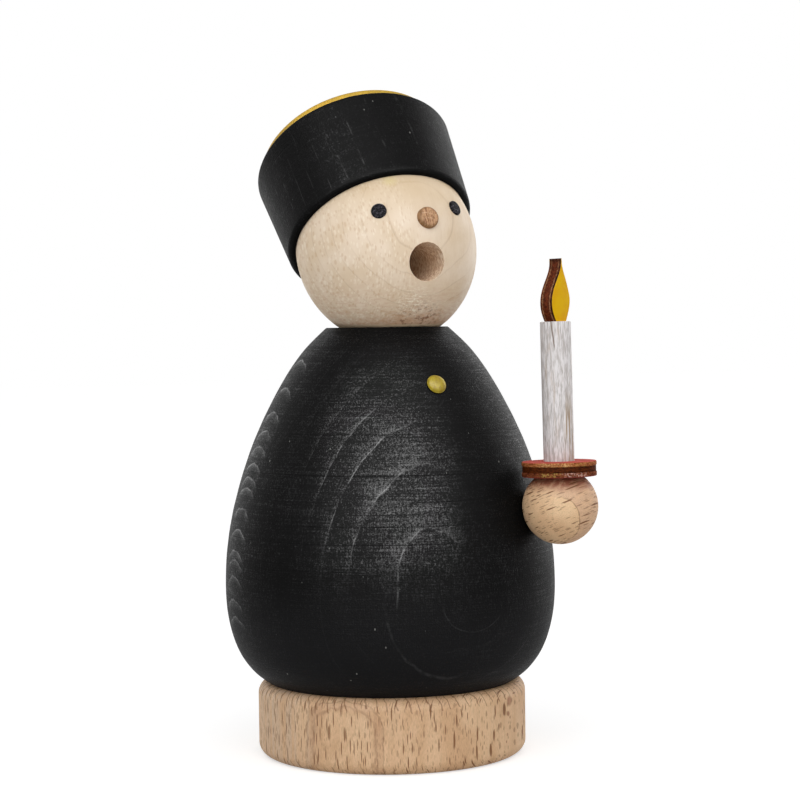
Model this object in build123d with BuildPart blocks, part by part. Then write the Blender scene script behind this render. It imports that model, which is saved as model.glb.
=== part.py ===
"""German incense smoker: a turned wooden figure that lifts off its base disc.

The base stands on z = 0 with its centre at the origin, and the figure looks along -Y.
A cone of incense burns on the dish inside the hollow body, air comes up through the base,
and the smoke leaves by the neck and the round mouth. All sizes are in millimetres.
"""
from build123d import *
from math import cos, radians, sin, sqrt
import os

# Base disc with the spigot that centres the figure
base_diameter = 55.0
base_height = 15.0
base_edge_radius = 2.5
spigot_height = 5.0
spigot_chamfer = 0.8
spigot_clearance = 0.3

# Air path: a groove under the base, out of sight at the back, with two holes up from it
groove_width = 3.5
groove_depth = 2.0
groove_back = 13.0
air_hole_diameter = 3.5
air_hole_spacing = 8.0

# Incense dish, a stamped pan let into the spigot and held by two round nails
dish_diameter = 20.0
dish_height = 1.6
dish_wall = 0.4
dish_let_in = 0.4
dish_clearance = 0.15
seat_ring_diameter = 12.0
seat_ring_height = 0.8
nail_spacing = 15.8
nail_diameter = 1.2
nail_length = 6.0
nail_head_diameter = 2.4
nail_head_height = 0.5

# Hollow body, turned to one long curve
body_diameter = 67.8
body_height = 72.3
body_foot_round = 0.4
body_top_round = 0.5
chamber_diameter = 34.0
chamber_taper = 10.0
flue_diameter = 7.6
flue_length = 8.8

# The body's outline: shares of its radius and of its height, from the foot to the top
body_outline_shares = [
    (0.748, 0.000),
    (0.813, 0.021),
    (0.902, 0.070),
    (0.973, 0.153),
    (1.000, 0.277),
    (0.975, 0.423),
    (0.907, 0.560),
    (0.800, 0.700),
    (0.652, 0.837),
    (0.502, 0.939),
    (0.369, 1.000),
]

# Neck tube, a hollow dowel that pins the head to the body
neck_diameter = 12.0
neck_length = 16.0
neck_in_body = 8.5

# Fit of glued pieces: the gap on each side of a dowel, a nail or a peg
glue_gap = 0.05

# Egg-shaped head, tilted back, with a flat sawn under it and another inside the hat
head_diameter = 36.9
head_length = 40.0
head_sit = 16.1
head_tilt = 38.8
flue_over_mouth = 1.5

# Mouth and face pegs; a place is given by its turn to the side and its rise, in degrees
mouth_diameter = 7.7
mouth_drop = 3.3
peg_depth = 3.0
eye_diameter = 3.1
eye_proud = 0.45
eye_round = 0.25
nose_diameter = 4.4
nose_proud = 1.1
nose_round = 0.7
face_places = {
    "eye_right": (-30.0, 21.3),
    "eye_left": (29.4, 24.1),
    "nose": (1.9, 16.6),
}

# Flared hat, recessed to take the head, and the gilt disc on top of it
brim_over_head = 3.7
hat_height = 20.45
hat_wall = 1.12
hat_flare = 1.47
brim_round = 1.15
hat_edge_round = 0.5
hat_recess_depth = 9.8
hat_clearance = 0.12
gilt_step = 1.6
gilt_thickness = 2.35
gilt_edge_round = 0.5

# Button on the chest: a domed tack on the figure's centre line
button_share = 0.815
button_diameter = 4.0
button_height = 1.1
button_edge = 0.3
button_shank_diameter = 1.2
button_shank_length = 6.0

# Hand: a ball with one flat against the body and one under the drip tray
hand_share = 0.4705
hand_angle = 35.3
hand_lean = 1.0
ball_diameter = 15.0
ball_side_flat = 1.0
ball_top_flat = 1.55
arm_dowel_diameter = 4.0
arm_dowel_length = 11.0
arm_dowel_in_ball = 4.5

# Drip tray of three plies, listed from the bottom up with their shares of the thickness
tray_diameter = 14.8
tray_thickness = 3.0
tray_edge_round = 0.2
ply_shares = [("tray_back_ply", 0.32), ("tray_core_ply", 0.38), ("tray_face_ply", 0.30)]

# Candle, a dowel through the tray into the ball, and its sawn plywood flame
candle_diameter = 6.1
candle_height = 27.5
candle_in_ball = 4.0
candle_top_round = 0.15
flame_turn = 23.0
flame_height = 12.4
flame_width = 5.85
flame_thickness = 3.0
flame_tenon_width = 3.2
flame_tenon_length = 3.0

# Flame outline: shares of its width and height, up the left side, then down the right
flame_left_shares = [(-0.28, 0.0), (-0.46, 0.18), (-0.48, 0.35), (-0.36, 0.52), (-0.13, 0.69), (0.04, 0.84)]
flame_tip_shares = (0.10, 1.0)
flame_right_shares = [(0.17, 0.84), (0.30, 0.69), (0.43, 0.52), (0.52, 0.35), (0.45, 0.18), (0.28, 0.0)]

# Turns in degrees: the front lies a quarter turn back from +X, and half an outline spans two
quarter_turn = 90.0

# A cut runs past the face that it opens by this much
overrun = 1.0

# Radii and heights worked out from the sizes above
base_radius = base_diameter / 2
chamber_radius = chamber_diameter / 2
spigot_radius = chamber_radius - spigot_clearance
spigot_top = base_height + spigot_height
dish_radius = dish_diameter / 2
dish_floor_z = spigot_top - dish_let_in
body_radius = body_diameter / 2
body_top_z = base_height + body_height
flue_radius = flue_diameter / 2
neck_radius = neck_diameter / 2
neck_low_z = body_top_z - neck_in_body
head_radius = head_diameter / 2
head_half_length = head_length / 2
head_z = body_top_z + head_sit
mouth_z = head_z - mouth_drop
hat_brim_radius = head_radius + hat_wall
hat_top_radius = hat_brim_radius + hat_flare
gilt_radius = hat_top_radius - gilt_step
ball_radius = ball_diameter / 2
candle_radius = candle_diameter / 2
tray_radius = tray_diameter / 2

# The head's own axis leans back from the upright, in the figure's plane of symmetry
head_centre = Vector(0, 0, head_z)
crown_dir = Vector(0, sin(radians(head_tilt)), cos(radians(head_tilt)))
head_axis = Axis(head_centre, crown_dir)
head_section = Plane(
    origin=head_centre,
    x_dir=(1, 0, 0),
    z_dir=(0, -crown_dir.Z, crown_dir.Y),
)
recess_over_head = brim_over_head + hat_recess_depth
hat_top_over_head = brim_over_head + hat_height


def crown_plane(over_head):
    """Plane square to the head's axis, this far from the head's centre."""
    return Plane(
        origin=head_centre + crown_dir * over_head,
        x_dir=(1, 0, 0),
        z_dir=crown_dir,
    )


def front_dir(turn, rise=0):
    """Unit vector turned from the front (-Y) towards +X, and raised, both in degrees."""
    level = cos(radians(rise))
    return Vector(
        level * sin(radians(turn)),
        -level * cos(radians(turn)),
        sin(radians(rise)),
    )


def head_reach(direction):
    """Distance from the head's centre to its surface: the ellipse's radius that way."""
    along = direction.dot(crown_dir)
    return 1 / sqrt(along**2 / head_half_length**2 + (1 - along**2) / head_radius**2)


# The body's outline as one curve in the XZ plane, up from the foot
outline_points = [
    (body_radius * r_share, base_height + body_height * h_share)
    for r_share, h_share in body_outline_shares
]
with BuildLine(Plane.XZ) as body_outline:
    Spline(*outline_points)
outline_edge = body_outline.edges()[0]


def seat_on_body(share, turn):
    """Plane that touches the body at a share of its outline, facing outwards."""
    spot = outline_edge @ share
    run = outline_edge % share
    facing = Vector(run.Z, 0, -run.X)
    to_front = turn - quarter_turn
    return Plane(
        origin=spot.rotate(Axis.Z, to_front),
        x_dir=run.rotate(Axis.Z, to_front),
        z_dir=facing.rotate(Axis.Z, to_front),
    )


# The hand's frame: where the ball touches the body, its centre, and its upright
hand_seat = seat_on_body(hand_share, hand_angle)
ball_side_plane = hand_seat.offset(glue_gap)
ball_centre = hand_seat.origin + hand_seat.z_dir * (glue_gap + ball_radius - ball_side_flat)
hand_out = front_dir(hand_angle)
hand_up = Vector(0, 0, cos(radians(hand_lean))) - hand_out * sin(radians(hand_lean))
hand_side = hand_up.cross(hand_out)


def hand_plane(over_ball):
    """Plane square to the candle, this far over the centre of the ball."""
    return Plane(
        origin=ball_centre + hand_up * over_ball,
        x_dir=hand_side,
        z_dir=hand_up,
    )


tray_low = ball_radius - ball_top_flat
tray_high = tray_low + tray_thickness
candle_top = tray_high + candle_height
candle_low = tray_low - candle_in_ball

os.makedirs("parts", exist_ok=True)

# Base disc: turned spigot, a shallow let-in for the dish, nail holes and the air path
with BuildPart() as base_disc:
    Cylinder(base_radius, base_height, align=(Align.CENTER, Align.CENTER, Align.MIN))
    fillet(base_disc.edges().filter_by(GeomType.CIRCLE), base_edge_radius)
    with BuildSketch(Plane.XY.offset(base_height)):
        Circle(spigot_radius)
    extrude(amount=spigot_height)
    spigot_rim = base_disc.faces().sort_by(Axis.Z)[-1].edges()
    chamfer(spigot_rim, spigot_chamfer)
    with BuildSketch(Plane.XY.offset(dish_floor_z)):
        Circle(dish_radius + dish_clearance)
    extrude(amount=dish_let_in, mode=Mode.SUBTRACT)
    with BuildSketch(Plane.XY.offset(dish_floor_z)):
        with GridLocations(nail_spacing, 0, 2, 1):
            Circle(nail_diameter / 2 + glue_gap)
    extrude(amount=-nail_length, mode=Mode.SUBTRACT)
    with BuildSketch(Plane.XY):
        with Locations((0, groove_back)):
            with GridLocations(air_hole_spacing, 0, 2, 1):
                Circle(air_hole_diameter / 2)
    extrude(amount=spigot_top, mode=Mode.SUBTRACT)
    with BuildSketch(Plane.XY):
        with Locations((0, groove_back)):
            Rectangle(base_diameter, groove_width)
    extrude(amount=groove_depth, mode=Mode.SUBTRACT)
base_disc.part.label = "base_disc"
export_step(base_disc.part, "parts/base_disc.step")

# Incense dish: a round pan with a ring that holds the foot of the cone
with BuildPart() as incense_dish:
    with BuildSketch(Plane.XY.offset(dish_floor_z)):
        Circle(dish_radius)
    extrude(amount=dish_height)
    with BuildSketch(Plane.XY.offset(dish_floor_z + dish_wall)):
        Circle(dish_radius - dish_wall)
    extrude(amount=dish_height - dish_wall, mode=Mode.SUBTRACT)
    with BuildSketch(Plane.XY.offset(dish_floor_z)):
        Circle(seat_ring_diameter / 2)
        Circle(seat_ring_diameter / 2 - dish_wall, mode=Mode.SUBTRACT)
    extrude(amount=dish_wall + seat_ring_height)
    with BuildSketch(Plane.XY.offset(dish_floor_z)):
        with GridLocations(nail_spacing, 0, 2, 1):
            Circle(nail_diameter / 2 + glue_gap)
    extrude(amount=dish_wall, mode=Mode.SUBTRACT)
incense_dish.part.label = "incense_dish"
export_step(incense_dish.part, "parts/incense_dish.step")

# Dish nails: two round-headed nails through the pan
nail_seat_z = dish_floor_z + dish_wall
with BuildPart() as dish_nails:
    with BuildSketch(Plane.XY.offset(nail_seat_z)):
        with GridLocations(nail_spacing, 0, 2, 1):
            Circle(nail_diameter / 2)
    extrude(amount=-(nail_length - glue_gap))
    with BuildSketch(Plane.XY.offset(nail_seat_z)):
        with GridLocations(nail_spacing, 0, 2, 1):
            Circle(nail_head_diameter / 2)
    extrude(amount=nail_head_height)
    nail_tops = dish_nails.faces().filter_by(Axis.Z).group_by(Axis.Z)[-1]
    fillet(nail_tops.edges(), nail_head_height / 2)
dish_nails.part.label = "dish_nails"
export_step(dish_nails.part, "parts/dish_nails.step")

# Body: turned outside, bored from below for the incense and from above for the neck
taper_high_z = neck_low_z - flue_length
taper_low_z = taper_high_z - chamber_taper
with BuildPart() as body_shell:
    with BuildSketch(Plane.XZ):
        with BuildLine():
            Spline(*outline_points)
            Polyline(
                outline_points[-1],
                (0, body_top_z),
                (0, base_height),
                outline_points[0],
            )
        make_face()
    revolve(axis=Axis.Z)
    rims = body_shell.edges().filter_by(GeomType.CIRCLE).sort_by(Axis.Z)
    fillet(rims[0], body_foot_round)
    top_rim = body_shell.edges().filter_by(GeomType.CIRCLE).sort_by(Axis.Z)[-1]
    fillet(top_rim, body_top_round)
    with BuildSketch(Plane.XZ):
        with BuildLine():
            Polyline(
                (0, base_height - overrun),
                (chamber_radius, base_height - overrun),
                (chamber_radius, taper_low_z),
                (flue_radius, taper_high_z),
                (flue_radius, neck_low_z),
                (neck_radius + glue_gap, neck_low_z),
                (neck_radius + glue_gap, body_top_z + overrun),
                (0, body_top_z + overrun),
                close=True,
            )
        make_face()
    revolve(axis=Axis.Z, mode=Mode.SUBTRACT)
    with BuildSketch(hand_seat.offset(overrun)):
        Circle(arm_dowel_diameter / 2 + glue_gap)
    extrude(amount=-(overrun + arm_dowel_length - arm_dowel_in_ball), mode=Mode.SUBTRACT)
    button_seat = seat_on_body(button_share, 0)
    with BuildSketch(button_seat.offset(overrun)):
        Circle(button_shank_diameter / 2 + glue_gap)
    extrude(amount=-(overrun + button_shank_length), mode=Mode.SUBTRACT)
body_shell.part.label = "body_shell"
export_step(body_shell.part, "parts/body_shell.step")

# Neck tube: the smoke passes through the dowel that holds the head
with BuildPart() as neck_tube:
    with BuildSketch(Plane.XY.offset(neck_low_z)):
        Circle(neck_radius)
        Circle(flue_radius, mode=Mode.SUBTRACT)
    extrude(amount=neck_length)
neck_tube.part.label = "neck_tube"
export_step(neck_tube.part, "parts/neck_tube.step")

# Head: an egg of revolution with two sawn flats, the smoke bore, the mouth and peg holes
peg_diameters = {"eye_right": eye_diameter, "eye_left": eye_diameter, "nose": nose_diameter}
with BuildPart() as head:
    with BuildSketch(head_section):
        with BuildLine():
            egg = EllipticalCenterArc(
                (0, 0),
                head_radius,
                head_half_length,
                start_angle=-quarter_turn,
                arc_size=2 * quarter_turn,
            )
            Line(egg @ 1, egg @ 0)
        make_face()
    revolve(axis=head_axis)
    split(bisect_by=Plane.XY.offset(body_top_z), keep=Keep.TOP)
    split(bisect_by=crown_plane(recess_over_head), keep=Keep.BOTTOM)
    with BuildSketch(Plane.XY.offset(body_top_z)):
        Circle(neck_radius + glue_gap)
    extrude(amount=neck_length - neck_in_body + glue_gap, mode=Mode.SUBTRACT)
    with BuildSketch(Plane.XY.offset(body_top_z)):
        Circle(flue_radius)
    extrude(amount=mouth_z + mouth_diameter / 2 + flue_over_mouth - body_top_z, mode=Mode.SUBTRACT)
    with BuildSketch(Plane(origin=(0, 0, mouth_z), x_dir=(1, 0, 0), z_dir=(0, -1, 0))):
        Circle(mouth_diameter / 2)
    extrude(amount=head_length, mode=Mode.SUBTRACT)
    for peg_name, peg_place in face_places.items():
        peg_dir = front_dir(*peg_place)
        peg_floor = head_centre + peg_dir * (head_reach(peg_dir) - peg_depth)
        with BuildSketch(Plane(origin=peg_floor, z_dir=peg_dir)):
            Circle(peg_diameters[peg_name] / 2 + glue_gap)
        extrude(amount=peg_depth + overrun, mode=Mode.SUBTRACT)
head.part.label = "head"
export_step(head.part, "parts/head.step")

# Face pegs: two eyes and a nose, rounded at the end that shows
peg_prouds = {"eye_right": eye_proud, "eye_left": eye_proud, "nose": nose_proud}
peg_rounds = {"eye_right": eye_round, "eye_left": eye_round, "nose": nose_round}
for peg_name, peg_place in face_places.items():
    peg_dir = front_dir(*peg_place)
    peg_floor = head_centre + peg_dir * (head_reach(peg_dir) - peg_depth + glue_gap)
    peg_plane = Plane(origin=peg_floor, z_dir=peg_dir)
    with BuildPart() as face_peg:
        with BuildSketch(peg_plane):
            Circle(peg_diameters[peg_name] / 2)
        extrude(amount=peg_depth - glue_gap + peg_prouds[peg_name])
        peg_end = face_peg.faces().sort_by(Axis(peg_floor, peg_dir))[-1]
        fillet(peg_end.edges(), peg_rounds[peg_name])
    face_peg.part.label = peg_name
    export_step(face_peg.part, f"parts/{peg_name}.step")

# Hat: a flared drum, recessed to the head's own curve
with BuildPart() as hat:
    with BuildSketch(head_section):
        with BuildLine():
            Polyline(
                (0, brim_over_head),
                (hat_brim_radius, brim_over_head),
                (hat_top_radius, hat_top_over_head),
                (0, hat_top_over_head),
                close=True,
            )
        make_face()
    revolve(axis=head_axis)
    hat_edges = hat.edges().filter_by(GeomType.CIRCLE).sort_by(head_axis)
    fillet(hat_edges[0], brim_round)
    fillet(hat_edges[-1], hat_edge_round)
    with BuildSketch(head_section):
        with BuildLine():
            recess = EllipticalCenterArc(
                (0, 0),
                head_radius + hat_clearance,
                head_half_length + hat_clearance,
                start_angle=-quarter_turn,
                arc_size=2 * quarter_turn,
            )
            Line(recess @ 1, recess @ 0)
        make_face()
        with Locations((0, recess_over_head)):
            Rectangle(
                head_radius + overrun,
                head_length,
                align=(Align.MIN, Align.MAX),
                mode=Mode.INTERSECT,
            )
    revolve(axis=head_axis, mode=Mode.SUBTRACT)
hat.part.label = "hat"
export_step(hat.part, "parts/hat.step")

# Gilt disc on top of the hat
with BuildPart() as hat_top:
    with BuildSketch(crown_plane(hat_top_over_head)):
        Circle(gilt_radius)
    extrude(amount=gilt_thickness)
    gilt_face = hat_top.faces().sort_by(head_axis)[-1]
    fillet(gilt_face.edges(), gilt_edge_round)
hat_top.part.label = "hat_top"
export_step(hat_top.part, "parts/hat_top.step")

# Chest button: a domed head over a straight shank
with BuildPart() as chest_button:
    with BuildSketch(Plane(origin=button_seat.origin, x_dir=button_seat.z_dir, z_dir=(1, 0, 0))):
        with BuildLine():
            Line((glue_gap, 0), (glue_gap, button_diameter / 2))
            Line((glue_gap, button_diameter / 2), (glue_gap + button_edge, button_diameter / 2))
            Spline(
                (glue_gap + button_edge, button_diameter / 2),
                (glue_gap + button_height, 0),
                tangents=((1, 0), (0, -1)),
            )
            Line((glue_gap + button_height, 0), (glue_gap, 0))
        make_face()
    revolve(axis=Axis(button_seat.origin, button_seat.z_dir))
    with BuildSketch(button_seat.offset(glue_gap)):
        Circle(button_shank_diameter / 2)
    extrude(amount=-button_shank_length)
chest_button.part.label = "chest_button"
export_step(chest_button.part, "parts/chest_button.step")

# Hand: the ball with its two flats, drilled for the arm dowel and for the candle
with BuildPart() as hand_ball:
    with Locations(ball_centre):
        Sphere(ball_radius)
    split(bisect_by=ball_side_plane, keep=Keep.TOP)
    split(bisect_by=hand_plane(tray_low), keep=Keep.BOTTOM)
    with BuildSketch(ball_side_plane):
        Circle(arm_dowel_diameter / 2 + glue_gap)
    extrude(amount=arm_dowel_in_ball, mode=Mode.SUBTRACT)
    with BuildSketch(hand_plane(tray_low)):
        Circle(candle_radius + glue_gap)
    extrude(amount=-(candle_in_ball + glue_gap), mode=Mode.SUBTRACT)
hand_ball.part.label = "hand_ball"
export_step(hand_ball.part, "parts/hand_ball.step")

# Arm dowel: pins the ball to the body
with BuildPart() as arm_dowel:
    with BuildSketch(ball_side_plane.offset(arm_dowel_in_ball - glue_gap)):
        Circle(arm_dowel_diameter / 2)
    extrude(amount=-(arm_dowel_length - glue_gap))
arm_dowel.part.label = "arm_dowel"
export_step(arm_dowel.part, "parts/arm_dowel.step")

# Drip tray: three plies, each with the candle's hole
ply_low = tray_low
for ply_name, ply_share in ply_shares:
    ply_thickness = tray_thickness * ply_share
    with BuildPart() as tray_ply:
        with BuildSketch(hand_plane(ply_low)):
            Circle(tray_radius)
            Circle(candle_radius + glue_gap, mode=Mode.SUBTRACT)
        extrude(amount=ply_thickness)
        if ply_name == ply_shares[-1][0]:
            ply_face = tray_ply.faces().sort_by(Axis(ball_centre, hand_up))[-1]
            fillet(ply_face.edges().sort_by(SortBy.LENGTH)[-1], tray_edge_round)
    tray_ply.part.label = ply_name
    export_step(tray_ply.part, f"parts/{ply_name}.step")
    ply_low = ply_low + ply_thickness

# The flame's plane stands across the candle's top, turned from the front
flame_side = Vector(cos(radians(flame_turn)), sin(radians(flame_turn)), 0)
flame_face_dir = flame_side.cross(hand_up).normalized()
flame_plane = Plane(
    origin=ball_centre + hand_up * candle_top,
    x_dir=hand_up.cross(flame_face_dir),
    z_dir=flame_face_dir,
)

# Candle: a painted dowel, slotted on top for the flame's tenon
with BuildPart() as candle:
    with BuildSketch(hand_plane(candle_low)):
        Circle(candle_radius)
    extrude(amount=candle_top - candle_low)
    candle_end = candle.faces().sort_by(Axis(ball_centre, hand_up))[-1]
    fillet(candle_end.edges(), candle_top_round)
    with BuildSketch(flame_plane):
        with Locations((0, -flame_tenon_length - glue_gap)):
            Rectangle(
                flame_tenon_width + 2 * glue_gap,
                flame_tenon_length + glue_gap + overrun,
                align=(Align.CENTER, Align.MIN),
            )
    extrude(amount=flame_thickness / 2 + glue_gap, both=True, mode=Mode.SUBTRACT)
candle.part.label = "candle"
export_step(candle.part, "parts/candle.step")


def flame_spot(shares):
    """Point of the flame's outline from its shares of the width and the height."""
    return (flame_width * shares[0], flame_height * shares[1])


# Flame: a sawn plywood blade with a short tenon
with BuildPart() as flame:
    with BuildSketch(flame_plane):
        with BuildLine():
            Spline(*[flame_spot(s) for s in flame_left_shares + [flame_tip_shares]])
            Spline(*[flame_spot(s) for s in [flame_tip_shares] + flame_right_shares])
            Line(flame_spot(flame_right_shares[-1]), flame_spot(flame_left_shares[0]))
        make_face()
    extrude(amount=flame_thickness / 2, both=True)
    with BuildSketch(flame_plane):
        Rectangle(
            flame_tenon_width,
            flame_tenon_length,
            align=(Align.CENTER, Align.MAX),
        )
    extrude(amount=flame_thickness / 2, both=True)
flame.part.label = "flame"
export_step(flame.part, "parts/flame.step")
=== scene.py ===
"""German incense smoker, finished: turned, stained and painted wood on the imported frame.

Sizes are in millimetres and are multiplied by MM, because the scene is in metres. The figure
looks along -Y, and the frame's origin is at the centre of the base's underside.
"""
import bpy
import numpy as np
from math import cos, radians, sin
from mathutils import Matrix, Vector


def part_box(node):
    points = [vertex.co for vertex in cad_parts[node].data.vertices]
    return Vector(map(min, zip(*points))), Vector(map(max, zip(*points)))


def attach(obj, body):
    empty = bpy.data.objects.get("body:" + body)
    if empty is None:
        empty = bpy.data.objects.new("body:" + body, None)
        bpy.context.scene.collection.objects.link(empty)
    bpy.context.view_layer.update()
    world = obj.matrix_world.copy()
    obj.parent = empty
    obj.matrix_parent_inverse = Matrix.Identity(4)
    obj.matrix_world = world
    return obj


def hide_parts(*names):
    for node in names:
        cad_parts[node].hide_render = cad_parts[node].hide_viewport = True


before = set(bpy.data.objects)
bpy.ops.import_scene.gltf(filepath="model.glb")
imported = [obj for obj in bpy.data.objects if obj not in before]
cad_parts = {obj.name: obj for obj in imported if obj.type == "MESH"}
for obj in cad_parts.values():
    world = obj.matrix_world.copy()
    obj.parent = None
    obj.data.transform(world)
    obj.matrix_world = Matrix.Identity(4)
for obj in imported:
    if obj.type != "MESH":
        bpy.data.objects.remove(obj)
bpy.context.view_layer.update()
MM = 0.001


def node_box(node):
    """Lowest and highest corner of a CAD node in millimetres."""
    low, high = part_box(node)
    return np.array(low) / MM, np.array(high) / MM


# Base: its radius and heights are read from the frame, its small cuts are named here
base_high = node_box("base_disc")[1]
body_low, body_high = node_box("body_shell")
base_radius = base_high[0]
base_height = body_low[2]
spigot_top = base_high[2]
base_edge_radius = 2.5
spigot_radius = 16.7
spigot_chamfer = 0.8
dish_seat_radius = 10.15
dish_seat_depth = 0.4
groove_width = 3.5
groove_depth = 2.0
groove_back = 13.0
air_hole_radius = 1.75
air_hole_spacing = 8.0

# Body: outer curve in shares of its radius and height, and the bores inside
body_radius = body_high[0]
body_top = body_high[2]
body_outline_shares = [
    (0.748, 0.000),
    (0.813, 0.021),
    (0.902, 0.070),
    (0.973, 0.153),
    (1.000, 0.277),
    (0.975, 0.423),
    (0.907, 0.560),
    (0.800, 0.700),
    (0.652, 0.837),
    (0.502, 0.939),
    (0.369, 1.000),
]
body_foot_round = 0.4
body_top_round = 0.5
outline_lip = (3.0, 0.0)
neck_bore_radius = 6.05
neck_in_body = 8.5
flue_radius = 3.8
flue_length = 8.8
chamber_radius = 17.0
chamber_taper = 10.0

# Head: an egg leaning back, with its mouth and pegs; a peg's place is its turn and rise
head_low, head_high = node_box("head")
head_radius = head_high[0]
head_half_length = 20.0
head_sit = 16.1
head_tilt = 38.8
head_centre = np.array([0.0, 0.0, head_low[2] + head_sit])
crown_over_head = 13.5
mouth_radius = 3.85
mouth_drop = 3.3
flue_over_mouth = 1.5
mouth_z = head_centre[2] - mouth_drop
peg_depth = 3.0
peg_foot_round = 0.2
face_places = {
    "eye_right": (-30.0, 21.3),
    "eye_left": (29.4, 24.1),
    "nose": (1.9, 16.6),
}
eye_radius = 1.55
eye_proud = 0.45
eye_round = 0.25
nose_radius = 2.2
nose_proud = 1.1
nose_round = 0.7

# Hat and the gilt disc, along the head's axis from the head's centre
brim_over_head = 3.7
hat_height = 20.45
hat_brim_radius = head_radius + 1.12
hat_top_radius = hat_brim_radius + 1.47
brim_round = 1.15
hat_edge_round = 0.5
hat_clearance = 0.12
gilt_radius = hat_top_radius - 1.6
gilt_thickness = 2.35
gilt_foot_round = 0.1
gilt_edge_round = 0.5

# Button on the chest; its rim's points are given as inset and height
button_low, button_high = node_box("chest_button")
button_radius = button_high[0]
button_height = 1.1
button_edge = 0.3
button_rim = [(0.0, 0.05), (-0.06, 0.05), (0.0, 0.15), (-0.03, button_edge)]
button_dome_inset = 0.12
button_rise = 30.7
button_shank_radius = 0.6
button_shank_length = 6.0

# Hand, drip tray, candle and flame
ball_low, ball_high = node_box("hand_ball")
ball_radius = (ball_high[0] - ball_low[0]) / 2
ball_centre = np.array([
    (ball_low[0] + ball_high[0]) / 2,
    (ball_low[1] + ball_high[1]) / 2,
    ball_low[2] + ball_radius,
])
hand_angle = 35.3
hand_lean = 1.0
ball_side_flat = 1.0
ball_top_flat = 1.55
tray_radius = 7.4
tray_thickness = 3.0
ply_shares = [("tray_back_ply", 0.32), ("tray_core_ply", 0.38), ("tray_face_ply", 0.30)]
ply_edge_round = 0.22
core_edge_round = 0.1
core_burn_back = 0.12
candle_radius = 3.05
candle_height = 27.5
candle_in_ball = 4.0
candle_foot_round = 0.1
candle_top_round = 0.2
candle_bore_radius = candle_radius + 0.05
crack_aside = -1.1
flame_turn = 23.0
flame_height = 12.4
flame_width = 5.85
flame_thickness = 3.0
flame_edge_round = 0.16
flame_tenon_width = 3.2
flame_tenon_length = 3.0
flame_left_shares = [
    (-0.28, 0.0), (-0.46, 0.18), (-0.48, 0.35), (-0.36, 0.52), (-0.13, 0.69), (0.04, 0.84),
]
flame_tip_shares = (0.10, 1.0)
flame_right_shares = [
    (0.28, 0.0), (0.45, 0.18), (0.52, 0.35), (0.43, 0.52), (0.30, 0.69), (0.17, 0.84),
]

# Camera: it stands where the photograph was taken from
camera_angle = 26.0
camera_away = 432.25
camera_aside = 2.475
camera_height = 86.45
camera_down = 0.0328
camera_roll = -0.0132
focal_pixels = 2100.0
frame_pixels = 800.0
sensor_width = 36.0
camera_clip = (0.01, 50.0)

# Unevenness left by hand and tool: depth, width and random seed of each kind. The small
# torn fibres have a share of the others' depth.
body_waves = (0.02, 2.3, 5)
torn_fibres = (0.16, 0.9, 11)
torn_fibres_small = (0.6, 0.42, 12)
saw_waves = (0.03, 0.8, 13)
hat_waves = (0.02, 2.6, 21)
peg_crumbs = (0.05, 0.5, 31)
ply_notches = (0.05, 0.5, 41)
candle_flutes = (0.02, 0.6, 51)

# Torn foot of the head: from and to which height over the saw cut, and where it is deepest
torn_heights = (4.2, 0.6)
torn_turn = 2.0
torn_turn_spread = 26.0

# How far a cutter runs past the wood
overrun = 1.0

# Origin, and directions of the tilted pieces
origin = np.zeros(3)
up_dir = np.array([0.0, 0.0, 1.0])
side_dir = np.array([1.0, 0.0, 0.0])
crown_dir = np.array([0.0, sin(radians(head_tilt)), cos(radians(head_tilt))])


def front_dir(turn, rise=0.0):
    """Unit vector turned from the front (-Y) towards +X, and raised, both in degrees."""
    level = cos(radians(rise))
    return np.array([level * sin(radians(turn)), -level * cos(radians(turn)), sin(radians(rise))])


hand_out = front_dir(hand_angle)
hand_up = up_dir * cos(radians(hand_lean)) - hand_out * sin(radians(hand_lean))
hand_side = np.cross(hand_up, hand_out)
hand_seat_dir = front_dir(hand_angle, 13.0)
tray_low = ball_radius - ball_top_flat
tray_high = tray_low + tray_thickness
candle_top = tray_high + candle_height
flame_side = np.array([cos(radians(flame_turn)), sin(radians(flame_turn)), 0.0])
flame_face_dir = np.cross(flame_side, hand_up)
flame_across = np.cross(hand_up, flame_face_dir)
photo_right = front_dir(90.0 - camera_angle)
button_facing = front_dir(0.0, button_rise)
shank_across = button_shank_radius * abs(button_facing[[1, 2]])
shank_along = button_shank_length * abs(button_facing[[1, 2]])
button_seat = np.array([
    0.0,
    button_high[1] - shank_along[0] - shank_across[1],
    button_low[2] + shank_along[1] + shank_across[0],
])


# Outlines

def curve_through(points, count):
    """Smooth curve through points: a natural cubic spline over the distance run along them.

    Between two points the curve is a third-degree polynomial, whose second derivatives at
    the points solve one linear system, with zero at both ends.
    """
    points = np.asarray(points, float)
    step = np.linalg.norm(np.diff(points, axis=0), axis=1)
    run = np.concatenate([[0.0], np.cumsum(step)])
    system = np.eye(len(points))
    wanted = np.zeros_like(points)
    inner = np.arange(1, len(points) - 1)
    system[inner, inner - 1] = step[inner - 1]
    system[inner, inner] = 2 * (step[inner - 1] + step[inner])
    system[inner, inner + 1] = step[inner]
    slope = np.diff(points, axis=0) / step[:, None]
    wanted[inner] = 6 * (slope[inner] - slope[inner - 1])
    bend = np.linalg.solve(system, wanted)
    at = np.linspace(0.0, run[-1], count)
    span = np.clip(np.searchsorted(run, at, side="right") - 1, 0, len(step) - 1)
    width = step[span][:, None]
    past = (at - run[span])[:, None]
    left = width - past
    cubic = (bend[span] * left**3 + bend[span + 1] * past**3) / (6 * width)
    start = (points[span] / width - bend[span] * width / 6) * left
    end = (points[span + 1] / width - bend[span + 1] * width / 6) * past
    return cubic + start + end


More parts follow.
